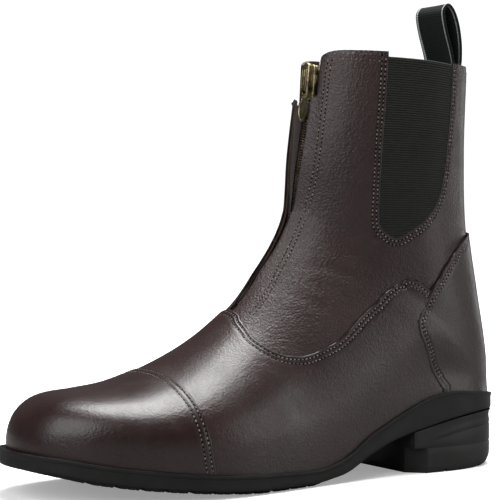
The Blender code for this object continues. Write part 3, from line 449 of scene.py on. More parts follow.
def weld(piece):
    """Merges a piece's doubled vertices."""
    edit(piece)
    bpy.ops.mesh.remove_doubles(threshold=WELD_REACH)
    bpy.ops.object.mode_set(mode="OBJECT")


def outwards(piece):
    """Turns a closed piece's faces outwards."""
    edit(piece)
    leave_outwards()


def capped(piece):
    """Closes a piece's open ends and turns its faces outwards."""
    edit(piece, "DESELECT")
    bpy.ops.mesh.select_mode(type="EDGE")
    bpy.ops.mesh.select_non_manifold()
    bpy.ops.mesh.edge_face_add()
    leave_outwards()


def join(name, pieces):
    """Joins pieces into one."""
    bpy.ops.object.select_all(action="DESELECT")
    for piece in pieces:
        piece.select_set(True)
    bpy.context.view_layer.objects.active = pieces[0]
    if len(pieces) > 1:
        bpy.ops.object.join()
    pieces[0].name = name
    pieces[0].data.name = name
    return pieces[0]


def rounded(piece, degrees=40):
    """Smooth shading, broken at sharp edges."""
    fresh(piece)
    bpy.ops.object.shade_smooth_by_angle(angle=math.radians(degrees))


def finished(piece, body, finish, material, *nodes):
    """Gives a piece its material and body, and hides the nodes it stands for; the finish slot argument is not
    used.
    """
    piece.data.materials.clear()
    piece.data.materials.append(material)
    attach(piece, body)
    for node in nodes:
        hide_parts(node)
    return piece


def gridded(name, places, marks=None):
    """Grid of faces shaped to an array of places, with its lengths as UV and a seam attribute, which on
    leather holds the strength of its painted seam shade.
    """
    rows, columns = places.shape[:2]
    bpy.ops.mesh.primitive_grid_add(x_subdivisions=rows - 1, y_subdivisions=columns - 1, size=2)
    piece = bpy.context.object
    piece.name = name
    mesh = piece.data
    flat = np.empty(len(mesh.vertices) * 3)
    mesh.vertices.foreach_get("co", flat)
    flat = flat.reshape(-1, 3)
    i = np.rint((flat[:, 0] + 1) / 2 * (rows - 1)).astype(int)
    j = np.rint((flat[:, 1] + 1) / 2 * (columns - 1)).astype(int)
    mesh.vertices.foreach_set("co", places[i, j].ravel())
    runs = [np.linalg.norm(np.diff(places, axis=axis), axis=-1) for axis in (0, 1)]
    down = np.vstack([np.zeros((1, columns)), np.cumsum(runs[0], 0)])
    over = np.hstack([np.zeros((rows, 1)), np.cumsum(runs[1], 1)])
    corners = np.empty(len(mesh.loops), int)
    mesh.loops.foreach_get("vertex_index", corners)
    uv = np.stack([down[i, j][corners], over[i, j][corners]], -1)
    mesh.uv_layers[0].data.foreach_set("uv", uv.ravel())
    seam = mesh.attributes.new("seam", "FLOAT", "POINT")
    seam.data.foreach_set("value", np.zeros(len(i)) if marks is None else marks[i, j].ravel())
    mesh.update()
    return piece


def walled(piece, thickness, inside_out=False, offset=-1):
    """Gives a sheet its wall, by default inwards; a sheet that faces inwards is turned first."""
    if inside_out:
        piece.data.flip_normals()
    wall = piece.modifiers.new("wall", "SOLIDIFY")
    wall.thickness = thickness
    wall.offset = offset
    apply_modifiers(piece)


def lane_places(first, second, edge_steps=EDGE_STEPS, spacing=0.002, count=None):
    """Places on lanes between two seams, finer at the ends that have edge steps."""
    shares = np.linspace(0, 1, 33)
    lanes = first[:, None] + (second - first)[:, None] * shares[None, :, None]
    points = last_point(lanes[..., 0], lanes[..., 1])
    runs = np.linalg.norm(np.diff(points, axis=1), axis=-1)
    lengths = np.hstack([np.zeros((len(first), 1)), np.cumsum(runs, 1)])
    middle = count or max(int(lengths[:, -1].max() / spacing), 4)
    steps = np.array(edge_steps)
    made = np.empty((len(first), 2 * len(steps) + middle - 1, 2))
    for k, run in enumerate(lengths):
        total = run[-1]
        shrink = min(1.0, 0.35 * total / max(steps[-1], 1e-6)) if total > 0 else 0.0
        ends = steps * shrink
        inner = np.linspace(ends[-1], total - ends[-1], middle + 1)[1:-1]
        at = np.concatenate([ends, inner, total - ends[::-1]])
        share = np.interp(at, run, shares) if total > 0 else np.zeros(len(at))
        made[k] = first[k] + (second[k] - first[k]) * share[:, None]
    return made


def run_along(points):
    """Length along a line of points, from its start to each."""
    return np.concatenate([[0], np.cumsum(np.linalg.norm(np.diff(points, axis=0), axis=-1))])


def chart_at(at, run, chart):
    """Places on a curve of rows and shares, read at lengths or numbers along it."""
    return np.stack([np.interp(at, run, chart[:, k]) for k in (0, 1)], -1)


def dense_curve(chart, spacing):
    """Points close together along a curve on the last, with their lengths from its start."""
    run = run_along(last_point(*chart.T))
    at = np.linspace(0, run[-1], max(int(run[-1] / spacing), 2))
    return chart_at(at, run, chart), at


def smooth_chart(table, side=1, steps=8):
    """Smooth curve on the last through a seam's table."""
    return through(table, steps * (len(table) - 1) + 1) * np.array([1, side])


def row_line(row, first, last, count=60):
    """Curve round the last at one section row."""
    return np.stack([np.full(count, float(row)), np.linspace(first, last, count)], -1)


def beside(chart, distance):
    """Curve on the last that runs beside another at a distance, to its left seen from outside."""
    curve, _ = dense_curve(chart, 0.0015)
    row, across = curve.T
    tangent = np.gradient(last_point(row, across), axis=0)
    tangent /= np.linalg.norm(tangent, axis=-1, keepdims=True)
    move = np.cross(last_normal(row, across), tangent) * distance
    step = 0.01
    low, high, left, right = neighbours(row, across, step, step)
    by_row = (last_point(high, across) - last_point(low, across)) / (high - low)[:, None]
    by_across = (last_point(row, right) - last_point(row, left)) / (right - left)[:, None]
    made = curve.copy()
    for k in range(len(curve)):
        basis = np.stack([by_row[k], by_across[k]], -1)
        made[k] += np.linalg.lstsq(basis, move[k], rcond=None)[0]
    made[:, 0] = np.clip(made[:, 0], 0, COLLAR_ROW)
    made[:, 1] = np.clip(made[:, 1], -1, 1)
    return made


def edge_distance(points, curves):
    """Distance of each point to the nearest of some curves on the last."""
    marks = np.vstack([last_point(*dense_curve(curve, 0.0008)[0].T) for curve in curves])
    flat = points.reshape(-1, 3)
    nearest = np.empty(len(flat))
    for k in range(0, len(flat), 2000):
        gaps = flat[k:k + 2000, None] - marks[None]
        nearest[k:k + 2000] = np.sqrt((gaps ** 2).sum(-1)).min(1)
    return nearest.reshape(points.shape[:-1])


def softened(places, flat, distance):
    """Places of a panel with the last's turn from sole to back smoothed, away from the panel's seams."""
    turn = edge_distance(flat, [row_line(HEEL_ROW, -1, 1, 200)])
    weight = 0.8 * smooth(1.6 * (1 - turn / EASE_REACH)) * smooth((distance - 0.0030) / 0.004)
    if weight.max() > 0:
        for _ in range(EASE_ROUNDS):
            around = (places[:-2, 1:-1] + places[2:, 1:-1] + places[1:-1, :-2] + places[1:-1, 2:]) / 4
            places[1:-1, 1:-1] += (around - places[1:-1, 1:-1]) * weight[1:-1, 1:-1, None]
    return places


def panel(name, lanes, base, rise, folded, roll=0.0009, stitch_rows=(), wall=0.0011, relief=None,
          sewn_edges=None):
    """Leather panel laid on the last along its lanes, rolled down at its folded edges, with painted shade
    marked along those edges and its stitch grooves.
    """
    row, across = lanes[..., 0], lanes[..., 1]
    flat = last_point(row, across)
    height = np.full(row.shape, base + rise)
    marks = np.zeros(row.shape)
    distance = edge_distance(flat, folded) if folded else np.full(row.shape, 1.0)
    if folded:
        height -= rise * (1 - np.sqrt(1 - (1 - np.clip(distance / roll, 0, 1)) ** 2))
        # marks: how strongly the leather paints shade along the folded edge and in the stitch grooves
        marks = 0.6 * np.exp(-(distance / 0.0010) ** 2)
        beside_seam = edge_distance(flat, sewn_edges or folded)
        for at in stitch_rows:
            groove = np.exp(-((beside_seam - at) / GROOVE_WIDTH) ** 2)
            height -= SEAM_GROOVE * groove
            marks = np.maximum(marks, groove)
    if relief is not None:
        height += relief(row, across, flat)
    piece = gridded(name, softened(on_last(row, across, height), flat, distance), marks)
    k = len(lanes) // 2, lanes.shape[1] // 2
    middle = on_last(row[k], across[k], height[k])
    wanted = last_normal(row[k], across[k])
    nearest = min(piece.data.polygons, key=lambda f: (f.center - Vector(middle)).length)
    if nearest.normal.dot(Vector(wanted)) < 0:
        piece.data.flip_normals()
    weld(piece)
    walled(piece, wall)
    rounded(piece, 60)
    return piece


def both_sides(lanes):
    """A side's lanes and their mirror, as pairs of lanes and side."""
    return [(lanes * np.array([1, side]), name) for name, side in SIDES.items()]


def lane_table(foot, edge, steps=6):
    """Matching places on two seams, with steps between the rows of their tables."""
    at = np.linspace(0, len(foot) - 1, steps * (len(foot) - 1) + 1)
    return chart_at(at, range(len(foot)), np.asarray(foot, float)), spline(np.asarray(edge, float), at)


def crease(points, start, end, depth, width):
    """How deep a soft crease between two places of the photograph presses into the leather."""
    start, end = Vector(start), Vector(end)
    run = np.array(end - start)
    share = np.clip(((points - np.array(start)) @ run) / (run @ run), 0, 1)
    foot = np.array(start) + share[..., None] * run
    gap = np.linalg.norm(points - foot, axis=-1)
    ends = np.sin(np.clip(share, 0.02, 0.98) * math.pi) ** 0.5
    return -depth * ends * (np.exp(-(gap / width) ** 2) - 0.45 * np.exp(-((gap - 1.9 * width) / width) ** 2))


# Creases: start and end on the last, depth, width
VAMP_CREASES = [((6.20, -0.42), (6.75, -0.66), 0.00022, 0.0030),
                ((6.10, 0.30), (6.50, 0.60), 0.00022, 0.0030)]
QUARTER_CREASES = [((start, side * near), (end, side * far), depth, width)
                   for side in (-1, 1)
                   for start, near, end, far, depth, width in ((9.30, 0.20, 10.9, 0.40, 0.00045, 0.0028),
                                                               (10.8, 0.12, 12.2, 0.36, 0.00038, 0.0030),
                                                               (8.10, 0.22, 8.60, 0.42, 0.00035, 0.0026),
                                                               (12.6, 0.16, 13.2, 0.40, 0.00030, 0.0034))]


def creased(table):
    """Relief of a table of creases, as a panel's height at its places."""
    def relief(row, across, points):
        height = np.zeros(row.shape)
        for start, end, depth, width in table:
            height += crease(points, last_point(*start), last_point(*end), depth, width)
        return height
    return relief


def make_toe_cap():
    """Toe cap: one sheet drawn round the toe, its rear edge folded down on the vamp."""
    across = np.concatenate([np.linspace(-1, -0.04, 34), np.linspace(0, 1, 36)])
    first = np.stack([np.zeros(len(across)), across], -1)
    last = np.stack([np.full(len(across), TOE_CAP_ROW), across], -1)
    lanes = lane_places(first, last, spacing=0.0016)
    edge = row_line(TOE_CAP_ROW, -1, 1)
    return panel("toe_cap_leather", lanes, 0.0010, 0.0011, [edge], stitch_rows=TOE_CAP_ROWS, wall=0.0018)


def make_vamp():
    """Vamp: two halves from the sole edge to the curved top seam, joined on the front line."""
    halves = []
    for lanes, name in both_sides(lane_places(*lane_table(VAMP_FOOT, VAMP_EDGE), spacing=0.0022)):
        seam = smooth_chart(VAMP_EDGE, SIDES[name])
        halves.append(panel(f"vamp_{name}", lanes, 0.0003, 0.0010, [seam], stitch_rows=VAMP_ROWS,
                            wall=0.0030, relief=creased(VAMP_CREASES)))
    return join("vamp_leather", halves)


def make_counter():
    """Heel counter: two halves meeting on the back seam."""
    halves = []
    for lanes, name in both_sides(lane_places(*lane_table(COUNTER_FOOT, COUNTER_EDGE), spacing=0.0022)):
        seam = smooth_chart(COUNTER_EDGE, SIDES[name])
        halves.append(panel(f"counter_{name}", lanes, 0.0004, 0.0014, [seam], stitch_rows=COUNTER_ROWS,
                            wall=0.0036))
    return join("counter_leather", halves)


def quarter_seams(side):
    """Inner and outer outlines of a quarter: round the gore, and along slot, sole side and back seam."""
    outer = []
    step = NOTCH_ROWS[0 if side < 0 else 1]
    for number, (row, across) in enumerate(QUARTER_EDGE):
        if number in (2, 3):
            row = step[number - 2]
        if across == "notch":
            across = across_at(row, NOTCH_WIDTH / 2 if side < 0 else NOTCH_MEDIAL)
        elif across == "slot":
            across = across_at(row, flap_edge(row, side))
        outer.append((row, across))
    return np.array(GORE_EDGE) * (1, side), np.array(outer) * (1, side)


def quarter_lanes(side, steps=8):
    """Lanes of a quarter, straight between the rows of its tables where its outline has corners."""
    inner, outer = quarter_seams(side)
    at = np.linspace(0, len(inner) - 1, steps * (len(inner) - 1) + 1)
    return spline(inner, at), chart_at(at, range(len(outer)), outer)


def make_quarters(height=0.0, rise=0.0008, wall=0.0012, name="quarter"):
    """Quarters: a C-shaped sheet on each side round the gore, folded at gore, zip and collar."""
    halves = []
    for side_name, side in SIDES.items():
        first, second = quarter_lanes(side)
        lanes = lane_places(first, second, spacing=0.0026)
        inner, outer = quarter_seams(side)
        collar = np.stack([np.full(80, 18.0), side * np.linspace(0.1, 1, 80)], -1)
        folded = [inner, outer[:12], collar]
        relief = creased(QUARTER_CREASES) if wall < 0.002 and rise > 0 else None
        halves.append(panel(f"{name}_{side_name}", lanes, height - rise, rise, folded if rise else [],
                            roll=0.0011, wall=wall, relief=relief, stitch_rows=GORE_ROWS if relief else (),
                            sewn_edges=[inner]))
    return halves


def make_back_strip():
    """Strip over the back seam, from the collar down over the counter's upper edge."""
    down = np.linspace(17.96, 15.15, 60)
    over = np.linspace(-1, 1, 25)
    places = np.empty((60, 25, 3))
    for i, row in enumerate(down):
        shares = np.linspace(0.72, 1, 120)
        for side in (-1, 1):
            line = last_point(row, side * shares)
            gaps = np.abs(line[:, 1] - SIDE_SHIFT)
            for j in range(25):
                if (over[j] >= 0) == (side > 0):
                    reach = abs(over[j]) * STRIP_HALF
                    share = float(np.interp(reach, gaps[::-1], shares[::-1]))
                    edge = (1 - abs(over[j])) * STRIP_HALF
                    lift = STRIP_ROLL * math.sqrt(1 - (1 - min(edge / STRIP_ROLL, 1)) ** 2)
                    lift += 0.0016 * float(smooth((16.25 - row) / 0.35))
                    places[i, j] = on_last(row, side * share, lift)
    strip = gridded("back_strip", places)
    walled(strip, 0.0014, strip.data.polygons[0].normal.x < 0)
    rounded(strip, 60)
    return strip


def make_gore(name, side):
    """Elastic gore with its woven ribs running round the leg."""
    inner = np.array(GORE_EDGE)
    turn = int(inner[:, 0].argmin())
    rows = np.linspace(13.95, 17.97, 240)
    rear = np.maximum(np.interp(rows, inner[turn:, 0], inner[turn:, 1]) + 0.012, 0.42)
    foot = last_point(14.10, side * 0.40)[2]
    shares, levels = np.linspace(0, 1, 26), np.linspace(0, 1, 560)
    row, across = np.empty((560, 26)), np.empty((560, 26))
    for j, share in enumerate(shares):
        line = 0.355 + (rear - 0.355) * share
        heights = last_point(rows, side * line)[:, 2]
        row[:, j] = np.interp(foot + (heights[-1] - foot) * levels, heights, rows)
        across[:, j] = side * np.interp(row[:, j], rows, line)
    point = last_point(row, across)
    phase = run_along(point[:, 8])[:, None] / RIB_PITCH * math.pi
    rib = np.abs(np.sin(phase)) ** 0.7 + 0 * row
    # The rib height also goes into the seam attribute, where the elastic paints shade in the troughs
    gore = gridded(f"{name}_elastic", on_last(row, across, -0.00085 + RIB_DEPTH * rib, lifted=False), rib)
    middle = gore.data.polygons[len(gore.data.polygons) // 2]
    walled(gore, 0.0010, middle.normal.y * side < 0)
    rounded(gore, 80)
    return gore


def make_lining():
    """Lining of the shaft, inside the quarters."""
    return join("shaft_lining", make_quarters(-0.0013, 0.0004, 0.0009, "lining"))


def bead(size, rings):
    """Small rounded form lying along X: a stitch, or a flat near-black dot of painted shade for the hole
    between two.
    """
    bpy.ops.mesh.primitive_uv_sphere_add(segments=6, ring_count=rings, radius=1)
    form = bpy.context.object
    form.data.transform(Matrix.Rotation(math.pi / 2, 4, "Y"))
    form.data.transform(Matrix.Diagonal((*size, 1)))
    return form


def placed_copy(form, place, x_way, y_way, z_way):
    """Copy of a small form at a place, turned to three directions."""
    copy = form.copy()
    copy.data = form.data.copy()
    copy.data.transform(Matrix.Translation(place) @ Matrix((x_way, y_way, z_way)).transposed().to_4x4())
    bpy.context.collection.objects.link(copy)
    return copy


def sewn(name, rows, form, shift):
    """Rows of stitches or of painted-shade dots between them; each row is a curve on the last and its height.
    """
    made = []
    for chart, height in rows:
        curve, run = dense_curve(chart, STITCH_STEP)
        count = max(int(run[-1] / STITCH_PITCH), 1)
        at = (np.arange(count) + shift) * run[-1] / count
        place = chart_at(at, run, curve).T
        ahead, behind = (on_last(*chart_at(at + step, run, curve).T, height)
                         for step in (STITCH_STEP, -STITCH_STEP))
        for point, run_way, normal in zip(on_last(*place, height), ahead - behind, last_normal(*place)):
            x_way = Vector(run_way).normalized()
            y_way = Vector(normal).cross(x_way).normalized()
            made.append(placed_copy(form, point, x_way, y_way, x_way.cross(y_way)))
    bpy.data.objects.remove(form, do_unlink=True)
    stitches = join(name, made)
    rounded(stitches, 80)
    return stitches


def beside_both(table, side, distances):
    """Curves beside a seam, on the side away from its opening."""
    seam = smooth_chart(table, side)
    return [beside(seam, side * distance) for distance in distances]


def trimmed(curve, row_end=COLLAR_ROW + 1.0, across_end=2.0):
    """Part of a curve below a section row and within a share round."""
    return np.array([(row, across) for row, across in curve if row < row_end and abs(across) < across_end])


def stitch_rows():
    """Rows of thread for each panel's seams: curves on the last and their heights."""
    edge = row_line(TOE_CAP_ROW, -1, 1, 120)
    toe = [(trimmed(beside(edge, distance), across_end=0.97), THREAD_HEIGHT["toe_cap"])
           for distance in TOE_CAP_ROWS]
    vamp, counter, quarter = [], [], []
    for side in (-1, 1):
        for curve in beside_both(VAMP_EDGE, side, VAMP_ROWS):
            vamp.append((curve, THREAD_HEIGHT["vamp"]))
        for curve in beside_both(COUNTER_EDGE[1:-1], side, COUNTER_ROWS):
            counter.append((trimmed(curve, across_end=0.985), THREAD_HEIGHT["counter"]))
        for curve in beside_both(GORE_EDGE, side, GORE_ROWS):
            quarter.append((trimmed(curve, 17.93), THREAD_HEIGHT["quarter"]))
        top = 17.9 if side < 0 else 16.6
        for distance in (-0.0012, 0.0012):
            facing = beside(smooth_chart(FACING_LINE, side), side * distance)
            quarter.append((trimmed(facing, top), THREAD_HEIGHT["facing"]))
        for row, start in ((17.925, 0.138), (17.82, 0.155)):
            for first, last in ((max(start, 0.27 * side), 0.345), (0.690, 0.905)):
                quarter.append((row_line(row, side * first, side * last), THREAD_HEIGHT["quarter"]))
    return {"toe_cap": toe, "vamp": vamp, "counter": counter, "quarter": quarter}


def ring_grid(name, rings):
    """Closed form through rings of places whose first and last rings shrink to a line."""
    places = np.concatenate([rings, rings[:, :1]], 1)
    form = gridded(name, places)
    weld(form)
    outwards(form)
    return form


def sole_profile(width, along, inset_top):
    """Half profile of the sole from the middle of its top round to the middle of its tread."""
    top, bottom = strip_top(along), strip_bottom(along)
    tread = tread_depth(along)
    step = np.minimum(0.0006, width * 0.3)
    chamfer = np.minimum(0.0012, width * 0.4)
    inset = np.minimum(TREAD_INSET, width * 0.6)
    lip = WELT_LIP
    return [(0 * width, top), (width * 0.5, top), (width - np.minimum(inset_top, width * 0.3), top),
            (width - 0.25 * step, top - 0.00012), (width, top - 0.0006), (width, top - lip + 0.0004),
            (width - 0.3 * step, top - lip + 0.0001), (width - step, top - lip - 0.0003),
            (width - 1.1 * step, top - lip - 0.0010), (width - step, (top + bottom) / 2 - 0.0006),
            (width - step, bottom + 0.0022), (width - step - 0.05 * chamfer, bottom + 0.0014),
            (width - step - 0.35 * chamfer, bottom + 0.0005), (width - step - chamfer, bottom + 0.0001),
            (width - inset + 0.0001, bottom), (width - inset, bottom - 0.5 * tread),
            (width - inset - 0.0003, bottom - 0.85 * tread),
            (width - inset - np.minimum(0.0009, 0.1 * width), bottom - tread),
            (width * 0.5, bottom - tread), (0 * width, bottom - tread)]


def make_outsole():
    """Sole strip with its welt lip and side, and the ridged forefoot tread."""
    ends = np.array([0.0, 0.0004, 0.0012, 0.0024, 0.004, 0.006, 0.0085])
    along = np.concatenate([ends, np.linspace(0.0115, 0.9885, 430), 1 - ends[::-1]])
    ring_list = []
    for place in along:
        halves = []
        for side in (-1, 1):
            width = float(edge_width(place, side))
            if 0 < place < 1:
                width = max(width, 0.0002)
            halves.append(sole_profile(np.float64(width), place, 0.0006))
        lateral = [(SIDE_SHIFT - y, z) for y, z in halves[0]]
        medial = [(SIDE_SHIFT + y, z) for y, z in halves[1]][::-1][1:-1]
        x = (place - 0.5) * LENGTH
        ring_list.append([(x, y, z) for y, z in lateral + medial])
    rings = np.array(ring_list, float)
    groove_at = -0.41 * LENGTH + TREAD_PITCH * np.arange(11)
    x = rings[..., 0]
    nearest = np.abs(x[..., None] - groove_at).min(-1)
    fine = np.abs(np.sin(x / 0.0042 * math.pi))
    under = np.array([strip_bottom(p) for p in along])[:, None]
    deep = np.clip((under - rings[..., 2]) / 0.0012, 0, 1)
    cut_in = np.where(nearest < 0.0011, TREAD_GROOVE, 0.00045 * (fine < 0.25))
    rings[..., 2] += deep * cut_in
    sole = ring_grid("sole_strip", rings)
    rounded(sole, 35)
    return sole


def heel_outline(inset, end_round, count=48):
    """Outline of the heel from its lateral front corner round the back."""
    front = 1 - HEEL_LENGTH / LENGTH
    places = front + (0.9992 - front) * np.sin(np.linspace(0, math.pi / 2, count))
    start, end = front * LENGTH, LENGTH - end_round - inset
    squeeze = (end - start) / (LENGTH - start)
    xs = start + (places * LENGTH - start) * squeeze - LENGTH / 2
    sides = []
    for side in (-1, 1):
        widths = edge_width(places, side) * drawn_share(inset)
        sides.append(np.stack([xs, SIDE_SHIFT + side * widths], -1))
    return np.vstack([sides[0], sides[1][::-1]])


def make_heel():
    """Heel block with rounded back and lines along its sides; its front corners and two worn slots are cut
    later by shape_heel.
    """
    base = heel_outline(HEEL_INSET, 0.0)
    under = strip_bottom(base[:, 0] / LENGTH + 0.5) - GAP
    rings = []
    low = [(0.0, HEEL_ROUND, 0.0009), (0.0004, HEEL_ROUND * 0.80, 0.0003), (0.0012, HEEL_ROUND * 0.58, 0.0),
           (0.003, HEEL_ROUND * 0.27, 0.0), (0.0058, HEEL_ROUND * 0.05, 0.0), (0.0095, 0.0, 0.0),
           (0.0132, 0.0, 0.0), (0.0139, 0.0, 0.0004), (0.0146, 0.0, 0.0)]
    for z, end_round, extra in low:
        outline = heel_outline(HEEL_INSET + extra, end_round)
        rings.append(np.column_stack([outline, np.full(len(outline), z)]))
    share_back = smooth((base[:, 0] - (0.5 * LENGTH - HEEL_LENGTH + 0.015)) / 0.004)
    high = [(0.0085, 0.0), (0.0080, 0.0005), (0.0076, 0.0001), (HEEL_BAND + 0.0004, 0.0),
            (HEEL_BAND, 0.0002), (0.0034, 0.0004), (0.0016, 0.0002), (0.0005, -0.0004), (0.0, -0.0006)]
    for drop, extra in high:
        plain, drawn = heel_outline(HEEL_INSET, 0.0), heel_outline(HEEL_INSET + extra, 0.0)
        outline = plain + (drawn - plain) * share_back[:, None]
        rings.append(np.column_stack([outline, under - drop]))
    places = np.array(rings)
    places = np.concatenate([places, places[:, :1]], 1)
    heel = gridded("heel_block", places)
    weld(heel)
    capped(heel)
    return heel


def carve(piece, cutters):
    """Cuts pieces out of another and removes them."""
    for number, cutter in enumerate(cutters):
        step = piece.modifiers.new(f"cut_{number}", "BOOLEAN")
        step.operation = "DIFFERENCE"
        step.solver = "EXACT"
        step.object = cutter
    apply_modifiers(piece)
    for cutter in cutters:
        bpy.data.objects.remove(cutter, do_unlink=True)
    return piece


def boxed(name, size, place, turn=(0, 0, 0)):
    """Block of a size at a place."""
    bpy.ops.mesh.primitive_cube_add(size=1, location=place, rotation=turn)
    block = bpy.context.object
    block.name = name
    block.scale = size
    return block


def block(name, size, place, width, segments=3):
    """Block with rounded edges."""
    return bevelled(boxed(name, size, place), width, segments)


def bevelled(piece, width, segments=3, degrees=30):
    """Rounds a piece's edges."""
    fresh(piece)
    bpy.ops.object.transform_apply(location=False, rotation=False, scale=True)
    edge = piece.modifiers.new("edges", "BEVEL")
    edge.width = width
    edge.segments = segments
    edge.limit_method = "ANGLE"
    edge.angle_limit = math.radians(degrees)
    apply_modifiers(piece)
    return piece


def shape_heel(heel):
    """Cuts the heel's front corners and the slots worn into its underside."""
    front = 0.5 * LENGTH - HEEL_LENGTH
    cutters = []
    for side in (-1, 1):
        width = float(edge_width(1 - HEEL_LENGTH / LENGTH, side)) * drawn_share(HEEL_INSET)
        size = (HEEL_CORNER * math.sqrt(2), HEEL_CORNER * math.sqrt(2), 2 * HEEL_CORNER_HEIGHT)
        cutters.append(boxed("corner_cut", size, (front, SIDE_SHIFT + side * width, 0), (0, 0, math.pi / 4)))
    for share in (0.30, 0.68):
        place = (front + share * HEEL_LENGTH, 0, 0)
        cutters.append(boxed("slot_cut", (HEEL_SLOT, 0.16, 2 * HEEL_SLOT_DEPTH), place))
    carve(heel, cutters)
    bevelled(heel, 0.00035, 2, 40)
    rounded(heel, 40)
    return heel


def make_insole():
    """Insole board with its soft cover, seated on the strip inside the upper."""
    rows = np.concatenate([np.linspace(0.35, 12.6, 70)])
    shares = np.linspace(-1, 1, 25)
    clearance = WALL + 2 * GAP
    top, under = [], []
    for row in rows:
        point = last_point(row, np.array([-1.0, 1.0]))
        x = float(point[0, 0])
        foot = x / LENGTH + 0.5
        x *= 1 - 2.4 * clearance / LENGTH
        scale = drawn_share(clearance)
        lateral = min((SIDE_SHIFT - point[0, 1]) * scale, SIDE_SHIFT - point[0, 1] - clearance)
        medial = min((point[1, 1] - SIDE_SHIFT) * scale, point[1, 1] - SIDE_SHIFT - clearance)
        low = float(strip_top(foot)) + 2 * GAP
        widths = np.where(shares < 0, lateral, medial) * shares
        crown = low + INSOLE - 0.0012 * np.abs(shares) ** 6
        top.append(np.stack([np.full(25, x), SIDE_SHIFT + widths, crown], -1))
        under.append(np.stack([np.full(25, x), SIDE_SHIFT + widths, np.full(25, low)], -1))
    insole = ring_grid("insole_cover", np.concatenate([np.array(top), np.array(under)[:, ::-1]], 1))
    capped(insole)
    rounded(insole, 40)
    return insole


TAPE_OUT = -(WALL + 1.6 * GAP)


def slider_row():
    """Section row level with the floor of the notch."""
    rows = np.linspace(15.0, COLLAR_ROW, 301)
    return float(np.interp(SHAFT_HEIGHT - NOTCH_DEPTH, last_point(rows, 0.0)[:, 2], rows))


def slider_matrix():
    """Frame of the slider: its lower end on the front line, leaning with it, +X into the boot."""
    low = last_point(slider_row(), 0.0)
    high = last_point(COLLAR_ROW, 0.0)
    lean = math.atan2(high[0] - low[0], high[2] - low[2])
    return Matrix.Translation(Vector(low) + Vector((0, 0, GAP))) @ Matrix.Rotation(lean, 4, "Y")


SLIDER = slider_matrix()


def make_zip_tape():
    """Woven tape behind the slot, split above for the slider."""
    made = []
    for name, side in SIDES.items():
        rows = np.concatenate([np.linspace(ZIP_FOOT_ROW - 0.3, slider_row(), 130),
                               np.linspace(slider_row() + 0.01, 17.35, 20)])
        shares = np.linspace(0, 1, 14)
        row = np.repeat(rows[:, None], len(shares), 1)
        across = np.empty(row.shape)
        for i, place in enumerate(rows):
            near = 0.0 if place <= slider_row() else TAPE_PART
            low, high = across_at(place, near), across_at(place, TAPE_REACH)
            across[i] = side * (low + (high - low) * shares)
        cord = 0.00030 * np.cos(np.linspace(0, math.pi, 14) * 5) * (shares < 0.5)
        places = on_last(row, across, TAPE_OUT - zip_sink(row) + cord[None], lifted=False)
        tape = gridded(f"tape_{name}", places)
        walled(tape, TAPE_WALL, tape.data.polygons[40].normal.x > 0)
        made.append(tape)
    tape = join("zip_tape_woven", made)
    rounded(tape, 60)
    return tape


def make_zip_teeth():
    """Closed teeth, hooked into each other left and right."""
    tooth = boxed("tooth", (0.0009, 0.0026, 0.0016), (0, 0, 0))
    fresh(tooth)
    bpy.ops.object.transform_apply(location=False, rotation=False, scale=True)
    edit(tooth)
    bpy.ops.mesh.bevel(offset=0.0003, segments=1)
    bpy.ops.object.mode_set(mode="OBJECT")
    rows = np.linspace(ZIP_FOOT_ROW + 0.15, slider_row() - 0.06, 600)
    line = last_point(rows, 0.0)
    run = run_along(line)
    made = []
    for number, at in enumerate(np.arange(0.0005, run[-1], TEETH_PITCH)):
        row = float(np.interp(at, run, rows))
        place = Vector(on_last(row, 0.0, TAPE_OUT + GAP + TAPE_WALL - zip_sink(row), lifted=False))
        ahead = Vector(last_point(row + 0.02, 0.0)) - Vector(last_point(row - 0.02, 0.0))
        x_way = ahead.normalized()
        z_way = Vector(last_normal(np.float64(row), np.float64(0.0)))
        y_way = z_way.cross(x_way).normalized()
        shift = y_way * (TEETH_SHIFT if number % 2 else -TEETH_SHIFT)
        made.append(placed_copy(tooth, place + shift, x_way, y_way, z_way))
    bpy.data.objects.remove(tooth, do_unlink=True)
    teeth = join("zip_teeth_row", made)
    rounded(teeth, 40)
    return teeth


def in_slider(piece):
    """Puts a piece modelled about the origin into the slider's frame."""
    fresh(piece)
    bpy.ops.object.transform_apply(location=True, rotation=True, scale=True)
    piece.data.transform(SLIDER)
    return piece


SLIDER_FRONT = WALL + 0.6 * GAP + ZIP_SINK - 0.0016
SLIDER_HEIGHT = 0.0208
PIN_HEIGHT = 0.0022
PULL_AXIS = (SLIDER_FRONT - 0.00135, 0, PIN_HEIGHT)


def flat_face(outline, front):
    """Upright face through an outline of places across and up."""
    bpy.ops.mesh.primitive_circle_add(vertices=len(outline), radius=1, fill_type="NGON")
    face = bpy.context.object
    for vertex, (y, z) in zip(face.data.vertices, outline):
        vertex.co = (front, y, z)
    return face


def arched(name, half, low, high, shoulder, front, depth, round_edge, sides=14):
    """Upright plate with an arched top, seen from the front, rounded at its edges."""
    outline = [(half, low)]
    outline += [(half - shoulder + shoulder * math.cos(turn), high - shoulder + shoulder * math.sin(turn))
                for turn in np.linspace(0, math.pi / 2, sides)]
    outline += [(-y, z) for y, z in reversed(outline)]
    plate = flat_face(outline, front)
    plate.name = name
    edit(plate)
    bpy.ops.mesh.extrude_region_move(TRANSFORM_OT_translate={"value": (depth, 0, 0)})
    leave_outwards()
    return bevelled(plate, round_edge, 3, 40)


